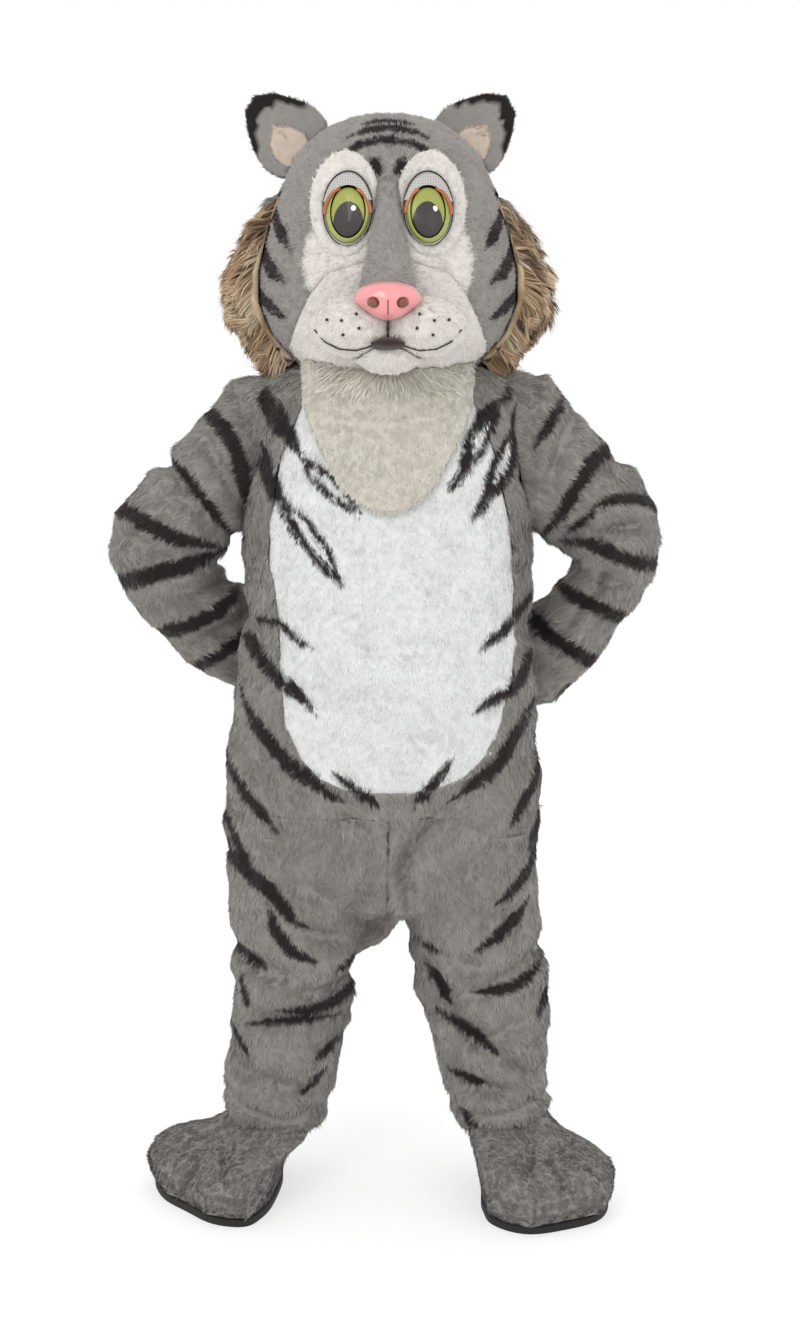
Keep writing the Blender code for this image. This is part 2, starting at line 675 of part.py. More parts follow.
def make_suit(feet):
    # Returns the torso's outer form, a seam larger, for what lies on it to be fitted to.
    ends = (WAIST_SEAM + SEAM / 2, NECK)
    torso_rings = body_rings(*ends, 12)
    torso_inner = levelled(body_rings(*ends, 7, (), PLUSH), torso_rings)
    sleeve_forms = {}
    sleeves = {}
    hollow = solid("torso_hollow", run_on(torso_inner, THROUGH, 0))
    for name, side in sides():
        rings, inner = sleeve_surfaces(side)
        sleeve_forms[name] = solid("armhole_" + name, moved_out(rings, SEAM))
        sleeve = wall("sleeve_" + name, rings, inner)
        take_away(sleeve, hollow)
        sleeves[name] = sleeve
    bpy.data.objects.remove(hollow)

    # The torso is one wall, cut along the side seams, the belly panel's edge and the centre seams.
    outline = edge_outline(BELLY)
    far = 0.5
    regions = {
        "belly_panel": (prism("belly_cut", outline, -far, 0), "INTERSECT"),
        "front_left": (box("half", (-far, -far, 0), (-SEAM / 2, -SEAM / 2, 2)), "INTERSECT"),
        "front_right": (box("half", (SEAM / 2, -far, 0), (far, -SEAM / 2, 2)), "INTERSECT"),
        "back_left": (box("half", (-far, SEAM / 2, 0), (-SEAM / 2, far, 2)), "INTERSECT"),
        "back_right": (box("half", (SEAM / 2, SEAM / 2, 0), (far, far, 2)), "INTERSECT"),
    }
    belly_hole = prism("belly_hole", grown(outline, SEAM), -far, 0)
    zip_low = (-ZIP_HALF - SEAM, 0.05, ZIP_LOW - SEAM)
    zip_slot = box("zip_slot", zip_low, (ZIP_HALF + SEAM, far, 2))
    for name, (region, operation) in regions.items():
        piece = wall(name, torso_rings, torso_inner)
        combine(piece, region, operation)
        if name.startswith("front"):
            take_away(piece, belly_hole)
        if name.startswith("back"):
            take_away(piece, zip_slot)
        if name != "belly_panel":
            take_away(piece, *sleeve_forms.values())
        tidied(piece, "white" if name == "belly_panel" else "grey")
    zip_inner = body_rings(*ends, 7, (), PLUSH - ZIP_SUNK)
    zipper = wall("back_zip", body_rings(*ends, 7, (), ZIP_SUNK), zip_inner)
    combine(zipper, box("zip_cut", (-ZIP_HALF, 0.05, ZIP_LOW), (ZIP_HALF, far, 2)), "INTERSECT")
    tidied(zipper, "grey")
    for cutter in (belly_hole, zip_slot, *sleeve_forms.values()):
        bpy.data.objects.remove(cutter)
    for sleeve in sleeves.values():
        tidied(sleeve, "grey")

    # The legs are one pair of trousers, cut along the centre seam and the side and inside seams.
    ends = (BODY[0].height, WAIST_SEAM - SEAM / 2)
    trousers = solid("trousers", body_rings(*ends, 7))
    hips_inner = levelled(body_rings(*ends, 7, (), PLUSH)[1:], body_rings(*ends, 7)[1:])
    inside = solid("inside", run_on(hips_inner, 0, THROUGH))
    for name, side in sides():
        table = LEG_LEFT if side < 0 else LEG_RIGHT
        leg_inner = moved_out(leg_rings(table, side, 7, ()), -PLUSH)
        combine(trousers, solid("leg", leg_rings(table, side, 14)), "UNION")
        combine(inside, solid("leg_inside", run_on(leg_inner, THROUGH, 0)), "UNION")
    combine(trousers, inside, "DIFFERENCE")
    across = {"left": (-far, -SEAM / 2), "right": (SEAM / 2, far)}
    deep = {"front": (-far, -SEAM / 2), "back": (SEAM / 2, far)}
    for name, face in product(across, deep):
        leg = bpy.data.objects.new(f"leg_{face}_{name}", trousers.data.copy())
        bpy.context.scene.collection.objects.link(leg)
        low, high = zip(across[name], deep[face], (0, 1))
        combine(leg, box("quarter", low, high), "INTERSECT")
        take_away(leg, feet[name])
        tidied(leg, "grey")
    bpy.data.objects.remove(trousers)
    return solid("torso_form", moved_out(torso_rings, SEAM))


def make_feet():
    # The foot covers and soles; returns the covers' forms, a seam larger, for the hems to sit on.
    forms = {}
    for name, side in sides():
        rings = foot_rings(side)
        raised = [[point + Vector((0, 0, SEAM)) for point in ring] for ring in rings]
        inner = moved_out(raised, -PLUSH)
        foot = wall("foot_" + name, raised, [inner[0], inner[2], *inner[4:]])
        floor = [Vector((point.x, point.y, 0)) for point in rings[0]]
        sole = solid("sole_" + name, [floor, [point + Vector((0, 0, SOLE)) for point in floor]])
        form = run_on(moved_out(raised, SEAM), THROUGH, THROUGH)
        forms[name] = solid("foot_form_" + name, form)
        tidied(foot, "grey")
        tidied(sole, "black", 0.6)
    return forms


def tube_rings(middles, radii, sides_count):
    # Rings square to a path; each radius is across the path's bend and along the depth.
    rings = []
    last = len(middles) - 1
    for index, middle in enumerate(middles):
        way = (middles[min(index + 1, last)] - middles[max(index - 1, 0)]).normalized()
        across = Vector((0, 0, 1)) if abs(way.z) < 0.8 else Vector((1, 0, 0))
        across = (across - way * across.dot(way)).normalized()
        third = way.cross(across)
        wide, flat = radii[index]
        ring = []
        for angle in turns(sides_count):
            ring.append(middle + across * wide * math.cos(angle) + third * flat * math.sin(angle))
        rings.append(ring)
    return rings


def make_paws(torso_form):
    for name, side in sides():
        cuff = (SLEEVE_LEFT if side < 0 else SLEEVE_RIGHT)[-1]
        level = (cuff.outer_height + cuff.inner_height) / 2
        rows = [at(MITT, place) for place in steps(0.0, 1.0, 7)]
        middles = [Vector((side * row.out, row.back, level - row.drop)) for row in rows]
        rings = tube_rings(middles, [(row.radius, row.flat) for row in rows], 10)
        paw = solid("paw_" + name, rings)
        inner = moved_out(rings[:-1], -MITT_WALL)
        combine(paw, solid("hollow", run_on(inner, THROUGH, 0)), "DIFFERENCE")
        # The cuff grips the wrist.
        outer, lining = sleeve_surfaces(side)
        cuff_rings = [run_on(moved_out(rings, gap), 0, SEAM) for rings, gap in ((outer, SEAM), (lining, -SEAM))]
        cuff_form = wall("cuff_form", *cuff_rings)
        take_away(paw, torso_form, cuff_form)
        bpy.data.objects.remove(cuff_form)
        tidied(paw, "grey")


def tail_rings():
    rings = []
    side = Vector((0, 1, 0))
    for place in steps(0.0, 1.0, 12):
        bone = at(TAIL, place)
        ahead = at(TAIL, min(place + 0.02, 1.0))
        behind = at(TAIL, max(place - 0.02, 0.0))
        way = Vector((ahead.x - behind.x, ahead.y - behind.y, ahead.height - behind.height)).normalized()
        # Carried on from ring to ring, so that the tube doesn't twist.
        side = (side - way * side.dot(way)).normalized()
        third = way.cross(side)
        middle = Vector((bone.x, bone.y, bone.height))
        rings.append([
            middle + (side * math.cos(angle) + third * math.sin(angle)) * bone.radius
            for angle in turns(12)
        ])
    return rings


# The head


def head_ring(height, sides_count=HEAD_SIDES):
    skull = at(HEAD, height)
    ring = []
    for angle in turns(sides_count):
        reach = oval_reach(angle, skull.half_width, skull.front, skull.back, HEAD_POWER)
        y = -reach * math.cos(angle)
        ring.append(Vector((reach * math.sin(angle), y, skull.height + skull.lean * y)))
    return ring


def head_rings(count, sides_count=HEAD_SIDES):
    heights = steps(HEAD[0].height, HEAD[-4].height, count) + [skull.height for skull in HEAD[-3:]]
    return [head_ring(height, sides_count) for height in heights]


def face_depth(x, height):
    # How far forward the bare face lies at a spot seen from the front.
    skull = at(HEAD, height)
    share = min(abs(x) / skull.half_width, 0.98)
    return -skull.front * (1 - share ** HEAD_POWER) ** (1 / HEAD_POWER)


def oval_outline(oval, side, sides_count):
    return [
        (
            side * oval["x"] + oval["half_width"] * math.sin(angle),
            oval["height"] + oval["half_height"] * math.cos(angle),
        )
        for angle in turns(sides_count)
    ]


def eye_ring(side, share, depth):
    # A ring of the eye's dome: share 0 is the pupil's middle, 1 the dome's rim.
    iris_share = min(share, 1.0)
    ring = []
    for angle in turns(EYE_SIDES):
        x = IRIS["x"] + (EYE["x"] - IRIS["x"]) * iris_share
        height = IRIS["height"] + (EYE["height"] - IRIS["height"]) * iris_share
        x += EYE["half_width"] * share * math.sin(angle)
        height += EYE["half_height"] * share * math.cos(angle)
        bulge = EYE["bulge"] * math.sqrt(max(1 - share * share, 0.0))
        ring.append(Vector((side * x, face_depth(x, height) - bulge + depth, height)))
    return ring


def eye_zone(name, side, start, end, count=2):
    shares = steps(start, end, count)
    fronts = [eye_ring(side, share, 0.0) for share in shares]
    backs = [eye_ring(side, share, EYE_WALL) for share in shares]
    if start > PUPIL_HOLE:
        return wall(name, fronts, backs)
    return solid(name, fronts + backs[::-1])


def puff_rings(puff, side, gap=0.0):
    rings = []
    for tilt in steps(-math.pi / 2 + 0.2, math.pi / 2 - 0.2, 6):
        ring = []
        for angle in turns(14):
            ring.append(Vector((
                side * puff.x + (puff.half_width + gap) * math.cos(tilt) * math.sin(angle),
                puff.y - (puff.half_depth + gap) * math.cos(tilt) * math.cos(angle),
                puff.height + (puff.half_height + gap) * math.sin(tilt),
            )))
        rings.append(ring)
    return rings


def bridge_rings(gap=0.0):
    rings = []
    for place in steps(0.0, 1.0, 5):
        ridge = at(BRIDGE, place)
        ring = []
        for angle in turns(12):
            x = (ridge.half_width + gap) * math.sin(angle)
            y = ridge.y - (ridge.thick + gap) * math.cos(angle)
            ring.append(Vector((x, y, ridge.height + 0.35 * (y - ridge.y))))
        rings.append(ring)
    return run_on(rings, gap, gap) if gap else rings


def nose_reach(angle):
    # A rounded triangle: wide at the top, narrow below; angle 0 is straight up.
    lower = max(-math.cos(angle), 0.0)
    return 1.0 - 0.22 * abs(math.sin(angle)) * lower + 0.06 * math.cos(3 * (angle + math.pi))


def nose_rings():
    rings = []
    for share, ahead in ((0.10, 1.0), (0.55, 0.86), (0.85, 0.5), (1.0, 0.0), (0.96, -1.4)):
        ring = []
        for angle in turns(16):
            reach = share * nose_reach(angle)
            x = NOSE["half_width"] * reach * math.sin(angle)
            height = NOSE["height"] + NOSE["half_height"] * reach * math.cos(angle)
            y = NOSE["y"] - NOSE["bulge"] * ahead + 0.25 * (abs(x) ** 2) / NOSE["half_width"]
            ring.append(Vector((x, y, height)))
        rings.append(ring)
    return rings


def nostril_rings(side, gap=0.0):
    front = NOSE["y"] - NOSE["bulge"] * 0.86
    rings = []
    for depth, share in ((-0.5, 0.3), (0.1, 1.0), (1.0, 0.8)):
        ring = []
        for angle in turns(8):
            x = side * NOSTRIL["x"] + (NOSTRIL["half_width"] * share + gap) * math.sin(angle)
            height = NOSTRIL["height"] + (NOSTRIL["half_height"] * share + gap) * math.cos(angle)
            y = front + NOSTRIL["depth"] * depth + gap * (1 if depth > 0.5 else -1)
            ring.append(Vector((x, y, height)))
        rings.append(ring)
    return rings


def ear_point(side, angle, share, depth, shrink=1.0, drop=0.0):
    # A point of the ear; angle 0 is straight up and grows outwards.
    tip = angle - math.radians(EAR["tip_angle"])
    reach = EAR["reach"] * (1 + EAR["tip"] * max(math.cos(tip), 0) ** EAR["tip_power"]) * share * shrink
    x = EAR_MIDDLE[side] + reach * math.sin(angle)
    height = EAR["height"] - drop + reach * math.cos(angle)
    hollow = EAR_CUP * (1 - (share * shrink) ** 2)
    return Vector((side * x, EAR["y"] + hollow + depth, height))


def ear_rings(side):
    rings = []
    for share in (0.12, 0.5, 0.8, 1.0):
        rings.append([ear_point(side, angle, share, -EAR_RIM / 2) for angle in turns(EAR_SIDES)])
    for share in (1.04, 0.98, 0.66, 0.2):
        belly = EAR_RIM / 2 + EAR_BELLY * math.sqrt(max(1 - share * share, 0.0))
        depth = belly if share < 1 else 0.0
        rings.append([ear_point(side, angle, share, depth) for angle in turns(EAR_SIDES)])
    return rings


def lining_rings(side):
    share_of = EAR_LINING["share"]
    back = EAR_LINING["sunk"] - EAR_RIM / 2
    rings = []
    for share, depth in ((0.2, 0), (1.0, 0), (0.9, 1), (0.5, 1), (0.15, 1)):
        ring = []
        for angle in turns(EAR_SIDES // 2):
            offset = back - (EAR_LINING["sunk"] + EAR_LINING["thickness"]) * depth
            ring.append(ear_point(side, angle, share, offset, share_of, EAR_LINING["drop"]))
        rings.append(ring)
    return rings


def mane_rings(side):
    # Upright sections of the ruff from behind the cheek to the middle of the back.
    rings = []
    heights = steps(MANE[0].height, MANE[-1].height, 3 * MANE_TIERS + 1)
    count = 2 * MANE_LOCKS
    for index in range(count + 1):
        share = index / count
        angle = math.radians(MANE_FROM) + (math.pi - math.radians(MANE_FROM)) * share
        lock = 0.5 + 0.5 * math.cos(math.pi * index)
        start_fade = 0.35 + 0.65 * min(share * 5, 1.0)
        inner = []
        outer = []
        for step, height in enumerate(heights):
            skull = at(HEAD, height)
            reach = oval_reach(angle, skull.half_width, skull.front, skull.back, HEAD_POWER)
            level = step / (len(heights) - 1)
            tier = 1 - (level * MANE_TIERS) % 1.0
            shag = 0.86 + 0.14 * tier - 0.14 * lock
            deep = reach - MANE_SUNK
            far = reach + at(MANE, height).thick * shag * start_fade
            drop = -MANE_DROP * (1 - 0.4 * lock) if step == 0 else 0.0
            way = Vector((side * math.sin(angle), -math.cos(angle), 0))
            lean = Vector((0, 0, height - skull.lean * reach * math.cos(angle)))
            inner.append(way * deep + lean)
            outer.append(way * far + lean + Vector((0, 0, drop)))
        rings.append(inner + outer[::-1])
    return rings


def drape_ring(height):
    # The neck drape: straight down from the head's rim, then out over the suit.
    level = at(BODY, height)
    rim = HEAD[0]
    ring = []
    for angle in turns(BODY_SIDES):
        over = oval_reach(angle, level.half_width, level.front, level.back, BODY_POWER) + BIB_THICK
        over += swell(BODY_FOLDS, height, angle)
        under = oval_reach(angle, rim.half_width, rim.front, rim.back, HEAD_POWER)
        reach = max(over, under)
        ring.append(Vector((level.middle + reach * math.sin(angle), -reach * math.cos(angle), height)))
    return ring


def make_drape(torso_form, head_form, chin_form):
    rim = HEAD[0]
    void = []
    for height in (1.26, 1.50):
        ring = []
        for angle in turns(BODY_SIDES):
            reach = oval_reach(angle, rim.half_width, rim.front, rim.back, HEAD_POWER) - BIB_THICK
            ring.append(Vector((reach * math.sin(angle), -reach * math.cos(angle), height)))
        void.append(ring)
    neck_void = solid("neck_void", void)
    rings = [drape_ring(height) for height in steps(BIB[0].height - 0.02, 1.46, 9)]
    far = 0.5
    bib = solid("bib", rings)
    combine(bib, prism("bib_cut", edge_outline(BIB), -far, -SEAM / 2), "INTERSECT")
    nape = solid("nape_drape", rings)
    combine(nape, box("nape_cut", (-NAPE_HALF, SEAM / 2, NAPE_EDGE), (NAPE_HALF, far, 2)), "INTERSECT")
    for piece in (bib, nape):
        take_away(piece, torso_form, head_form, chin_form, neck_void)
    bpy.data.objects.remove(neck_void)
    tidied(bib, "cream")
    tidied(nape, "grey")


def make_head():
    rings = head_rings(8)
    head_form = solid("head_form", moved_out(rings, SEAM))
    inner = moved_out(head_rings(6, 18)[:-1], -FOAM)

    def shell(name):
        piece = solid(name, rings)
        combine(piece, solid("head_hollow", run_on(inner, THROUGH, 0)), "DIFFERENCE")
        return piece

    half = [(corner.x, corner.height) for corner in LOWER_FACE]
    lower = half + [(-x, height) for x, height in half[:0:-1]]
    head = shell("head_shell")
    lower_face = shell("lower_face")
    combine(lower_face, prism("lower_cut", lower, -0.5, -0.05), "INTERSECT")
    combine(head, prism("lower_hole", grown(lower, SEAM), -0.5, -0.05), "DIFFERENCE")
    for name, side in sides():
        outline = oval_outline(EYE_PATCH, side, PATCH_SIDES)
        eye = oval_outline(EYE, side, EYE_SIDES)
        patch = shell("eye_patch_" + name)
        combine(patch, prism("patch_cut", outline, -0.5, -0.05), "INTERSECT")
        take_away(patch, lower_face)
        combine(patch, prism("socket", grown(eye, SEAM), -0.5, -0.05), "DIFFERENCE")
        combine(head, prism("patch_hole", grown(outline, SEAM), -0.5, -0.05), "DIFFERENCE")
        take_away(lower_face, patch)
        tidied(patch, "white")
        make_eye(name, side)
    tidied(head, "grey")
    tidied(lower_face, "white")
    return head_form


def make_eye(name, side):
    iris_share = IRIS["half_width"] / EYE["half_width"]
    pupil_share = iris_share * PUPIL_SHARE
    gap = SEAM / EYE["half_width"]
    tidied(eye_zone("eye_white_" + name, side, iris_share + gap, 1.0, 3), "white", 0.4)
    tidied(eye_zone("iris_" + name, side, pupil_share + gap, iris_share), "green", 0.4)
    tidied(eye_zone("pupil_" + name, side, PUPIL_HOLE, pupil_share), "black", 0.5)

    # The eyelid is a thicker cap over the dome's upper part.
    shares = [PUPIL_HOLE, pupil_share, pupil_share + gap, iris_share]
    shares += steps(iris_share + gap, 1.0, 3)
    dome = [eye_ring(side, share, 0.0) for share in shares]
    under = [eye_ring(side, share, EYE_WALL) for share in shares]
    dome_form = solid("dome_form", moved_out(dome + under[::-1], SEAM))
    over = [eye_ring(side, share, -LID_THICKNESS) for share in shares]
    lid = solid("eyelid_" + name, over + dome[::-1])
    x = side * EYE["x"]
    combine(lid, box("lid_cut", (x - 0.1, -0.5, LID["low"]), (x + 0.1, 0, 2)), "INTERSECT")
    opening = {"x": EYE["x"], "height": LID["middle"], **LID}
    arch = prism("lid_arch", oval_outline(opening, side, ARCH_SIDES), -0.5, 0)
    take_away(lid, dome_form, arch)
    bpy.data.objects.remove(dome_form)
    bpy.data.objects.remove(arch)
    tidied(lid, "grey", 0.8)


def make_face(head_form):
    centre = {-1: (-0.2, -SEAM / 2), 1: (SEAM / 2, 0.2)}
    muzzle_forms = []
    for name, side in sides():
        low, high = centre[side]
        muzzle = solid("muzzle_" + name, puff_rings(MUZZLE, side))
        combine(muzzle, box("half", (low, -0.5, 1), (high, 0, 2)), "INTERSECT")
        take_away(muzzle, head_form)
        muzzle_forms.append(solid("muzzle_form", puff_rings(MUZZLE, side, SEAM)))
        tidied(muzzle, "white")
    bridge = solid("nose_bridge", bridge_rings())
    bridge_form = solid("bridge_form", bridge_rings(SEAM))
    take_away(bridge, head_form, *muzzle_forms)
    nose = solid("nose", nose_rings())
    take_away(nose, *muzzle_forms, bridge_form)
    for name, side in sides():
        combine(nose, solid("nostril_pocket", nostril_rings(side, SEAM)), "DIFFERENCE")
        tidied(solid("nostril_" + name, nostril_rings(side)), "brown", 0.6)
    mouth = solid("mouth", puff_rings(MOUTH, 1))
    mouth_form = solid("mouth_form", puff_rings(MOUTH, 1, SEAM))
    take_away(mouth, head_form, *muzzle_forms)
    chin = solid("chin", puff_rings(CHIN, 1))
    chin_form = solid("chin_form", puff_rings(CHIN, 1, SEAM))
    take_away(chin, head_form, *muzzle_forms, mouth_form)
    tidied(bridge, "grey")
    tidied(nose, "pink", 0.35)
    tidied(mouth, "black", 0.8)
    tidied(chin, "white")
    for form in (*muzzle_forms, bridge_form, mouth_form):
        bpy.data.objects.remove(form)
    return chin_form


def make_ears_and_mane(head_form, torso_form):
    for name, side in sides():
        ear = solid("ear_" + name, ear_rings(side))
        take_away(ear, head_form)
        lining = solid("ear_lining_" + name, lining_rings(side))
        ear_form = solid("ear_form", moved_out(ear_rings(side), SEAM))
        take_away(lining, head_form, ear_form)
        bpy.data.objects.remove(ear_form)
        mane = solid("mane_" + name, mane_rings(side))
        low, high = (-0.5, -SEAM / 2) if side < 0 else (SEAM / 2, 0.5)
        combine(mane, box("half", (low, -0.5, 1), (high, 0.5, 2)), "INTERSECT")
        take_away(mane, head_form, torso_form)
        tidied(ear, "grey")
        tidied(lining, "cream")
        tidied(mane, "tan")


def main():
    for old in list(bpy.data.objects):
        bpy.data.objects.remove(old)
    foot_forms = make_feet()
    torso_form = make_suit(foot_forms)
    make_paws(torso_form)
    tail = solid("tail", tail_rings())
    take_away(tail, torso_form)
    tidied(tail, "grey")
    head_form = make_head()
    chin_form = make_face(head_form)
    make_ears_and_mane(head_form, torso_form)
    make_drape(torso_form, head_form, chin_form)
    for form in (torso_form, head_form, chin_form, *foot_forms.values()):
        bpy.data.objects.remove(form)


main()
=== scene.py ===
# Tiger mascot costume, dressed: plush cloth on every panel, its pile laid along the nap, and the face.
import math
from collections import namedtuple

import bmesh
import bpy
import numpy as np
from mathutils import Matrix, Vector
from mathutils.bvhtree import BVHTree
from mathutils.kdtree import KDTree


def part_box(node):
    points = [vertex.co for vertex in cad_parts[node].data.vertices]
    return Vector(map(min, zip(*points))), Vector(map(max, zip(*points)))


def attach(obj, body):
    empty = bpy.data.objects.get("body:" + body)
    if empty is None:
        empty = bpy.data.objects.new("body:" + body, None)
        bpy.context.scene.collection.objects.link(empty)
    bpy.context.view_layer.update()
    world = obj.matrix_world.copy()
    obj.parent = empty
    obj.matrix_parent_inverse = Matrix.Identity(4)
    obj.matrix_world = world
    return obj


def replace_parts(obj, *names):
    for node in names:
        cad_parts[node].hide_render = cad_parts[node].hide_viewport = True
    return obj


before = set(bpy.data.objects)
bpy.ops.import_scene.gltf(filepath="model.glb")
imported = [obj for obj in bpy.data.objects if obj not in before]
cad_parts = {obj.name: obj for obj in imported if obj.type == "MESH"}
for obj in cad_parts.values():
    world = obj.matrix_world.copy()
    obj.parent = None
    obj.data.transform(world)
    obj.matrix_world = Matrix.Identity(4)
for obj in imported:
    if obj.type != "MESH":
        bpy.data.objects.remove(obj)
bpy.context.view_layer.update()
sides = ("left", "right")
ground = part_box("sole_left")[0].z  # heights in the tables below are above this
print("frame loaded")


def upright(height):
    return height + ground


def linear(red, green, blue):  # a colour as seen, 0 to 255, as the shader's own numbers
    return tuple(((c / 255 + 0.055) / 1.055) ** 2.4 if c > 10 else c / 3294.6 for c in (red, green, blue))


def waves(points, size, seed):  # a smooth field from about -1 to 1 that changes over this size
    r = np.random.default_rng(seed)
    turns = r.normal(size=(8, 3))
    turns *= (2 * math.pi / size * r.uniform(0.6, 1.4, 8) / np.linalg.norm(turns, axis=1))[:, None]
    return np.sin(points @ turns.T + r.uniform(0, 2 * math.pi, 8)).sum(1) / 3


def unit(vectors):
    return vectors / np.maximum(np.linalg.norm(vectors, axis=-1, keepdims=True), 1e-9)


def nearestOn(points, line):  # how far, which place, which way the line runs there, share of its length
    line = np.asarray(line, float)
    steps = np.linalg.norm(np.diff(line, axis=0), axis=1)
    starts = np.concatenate([[0], np.cumsum(steps)])
    gap, share = np.full(len(points), 1e9), np.zeros(len(points))
    place, way = np.zeros_like(points), np.zeros_like(points)
    for i, long in enumerate(steps):
        run = (line[i + 1] - line[i]) / long
        t = np.clip((points - line[i]) @ run, 0, long)
        at = line[i] + t[:, None] * run
        away = np.linalg.norm(points - at, axis=1)
        near = away < gap
        gap[near], place[near], way[near] = away[near], at[near], run
        share[near] = (starts[i] + t[near]) / starts[-1]
    return gap, place, way, share


def rounded(line):  # a line with its corners cut twice
    line = np.asarray(line, float).reshape(-1, 2)
    for _ in range(2):
        cut = np.empty((2 * len(line) - 2, 2))
        cut[0::2] = 0.75 * line[:-1] + 0.25 * line[1:]
        cut[1::2] = 0.25 * line[:-1] + 0.75 * line[1:]
        line = np.vstack([line[:1], cut, line[-1:]])
    return line


def shaderGroup(name, inputs, outputs):
    group = bpy.data.node_groups.new(name, "ShaderNodeTree")
    for label, value in inputs.items():
        kind = "NodeSocketColor" if isinstance(value, tuple) else "NodeSocketFloat"
        group.interface.new_socket(label, in_out="INPUT", socket_type=kind).default_value = value
    for label, kind in outputs.items():
        group.interface.new_socket(label, in_out="OUTPUT", socket_type="NodeSocket" + kind)
    take, give = (group.nodes.new("NodeGroup" + end) for end in ("Input", "Output"))
    where = group.nodes.new("ShaderNodeTexCoord")
    return group, group.nodes, group.links, take.outputs, give.inputs, where.outputs["Object"]


def maths(nodes, links, operation, *sources):  # a Math node fed from sockets or numbers
    node = nodes.new("ShaderNodeMath")
    node.operation = operation
    for socket, source in zip(node.inputs, sources):
        if isinstance(source, (int, float)):
            socket.default_value = source
        else:
            links.new(source, socket)
    return node.outputs[0]


def makeToneGroup():  # a colour made lighter and darker in soft patches
    group, nodes, links, take, give, where = shaderGroup(
        "patchyTone", {"Colour": (0.5, 0.5, 0.5, 1), "Size": 60.0, "Amount": 0.2},
        {"Colour": "Color", "Mask": "Float"})
    noise, shade = nodes.new("ShaderNodeTexNoise"), nodes.new("ShaderNodeVectorMath")
    noise.inputs["Detail"].default_value = 3
    shade.operation = "SCALE"
    links.new(where, noise.inputs["Vector"])
    links.new(take["Size"], noise.inputs["Scale"])
    centred = maths(nodes, links, "SUBTRACT", noise.outputs[0], 0.5)
    lifted = maths(nodes, links, "ADD", maths(nodes, links, "MULTIPLY", centred, take["Amount"]), 1.0)
    links.new(take["Colour"], shade.inputs[0])
    links.new(lifted, shade.inputs["Scale"])
    links.new(shade.outputs[0], give["Colour"])
    links.new(noise.outputs[0], give["Mask"])
    return group


def makeGridGroup():  # threads crossing at right angles, seen from the front
    group, nodes, links, take, give, where = shaderGroup("openMesh", {"Pitch": 0.002}, {"Thread": "Float"})
    split = nodes.new("ShaderNodeSeparateXYZ")
    links.new(where, split.inputs[0])
    turn = maths(nodes, links, "DIVIDE", math.pi, take["Pitch"])
    turned = [maths(nodes, links, "MULTIPLY", split.outputs[axis], turn) for axis in "XZ"]
    waved = [maths(nodes, links, "SINE", angle) for angle in turned]
    sizes = [maths(nodes, links, "ABSOLUTE", wave) for wave in waved]
    links.new(maths(nodes, links, "MAXIMUM", *sizes), give["Thread"])
    return group


def makeKnitGroup():  # the knitted ground that the pile stands in
    group, nodes, links, take, give, where = shaderGroup("knitGround", {"Pitch": 0.002}, {"Height": "Float"})
    cells = nodes.new("ShaderNodeTexVoronoi")
    links.new(where, cells.inputs["Vector"])
    links.new(maths(nodes, links, "DIVIDE", 1.0, take["Pitch"]), cells.inputs["Scale"])
    links.new(cells.outputs["Distance"], give["Height"])
    return group


def makeOvalGroup():  # 1 inside an upright oval seen from the front, the same on both sides
    group, nodes, links, take, give, where = shaderGroup(
        "ovalMask", {"Aside": 0.06, "Height": 0.0, "Half Width": 0.03, "Half Height": 0.04},
        {"Inside": "Float"})
    split = nodes.new("ShaderNodeSeparateXYZ")
    links.new(where, split.inputs[0])
    aside, squares = maths(nodes, links, "ABSOLUTE", split.outputs["X"]), []
    rise = split.outputs["Z"]
    for source, middle, half in ((aside, "Aside", "Half Width"), (rise, "Height", "Half Height")):
        off = maths(nodes, links, "SUBTRACT", source, take[middle])
        share = maths(nodes, links, "DIVIDE", off, take[half])
        squares.append(maths(nodes, links, "MULTIPLY", share, share))
    far = maths(nodes, links, "ADD", *squares)
    links.new(maths(nodes, links, "LESS_THAN", far, 1.0), give["Inside"])
    return group


toneGroup, gridGroup = makeToneGroup(), makeGridGroup()
knitGroup, ovalGroup = makeKnitGroup(), makeOvalGroup()


def newFinish(name, rough, sheen=0.0, coat=0.0, coatRough=0.1, specular=0.5):
    material = bpy.data.materials.new(name)
    material.use_nodes = True
    nodes = material.node_tree.nodes
    shader = nodes["Principled BSDF"]
    shader.inputs["Roughness"].default_value = rough
    shader.inputs["Specular IOR Level"].default_value = specular
    if sheen:
        shader.inputs["Sheen Weight"].default_value = sheen
        shader.inputs["Sheen Roughness"].default_value = 0.5
    if coat:
        shader.inputs["Coat Weight"].default_value = coat
        shader.inputs["Coat Roughness"].default_value = coatRough
    return material, nodes, material.node_tree.links, shader


def placed(nodes, group, **values):
    node = nodes.new("ShaderNodeGroup")
    node.node_tree = group
    for label, value in values.items():
        node.inputs[label].default_value = value
    return node


def bumped(nodes, links, shader, height, strength, depth):
    bump = nodes.new("ShaderNodeBump")
    bump.inputs["Strength"].default_value = strength
    bump.inputs["Distance"].default_value = depth
    links.new(height, bump.inputs["Height"])
    links.new(bump.outputs["Normal"], shader.inputs["Normal"])


def pileFinish(name, rough=0.85, sheen=0.25):  # strands take their own colours
    material, nodes, links, shader = newFinish(name, rough, sheen, specular=0.25)
    colour = nodes.new("ShaderNodeAttribute")
    colour.attribute_name = "coat"
    links.new(colour.outputs["Color"], shader.inputs["Base Color"])
    return material


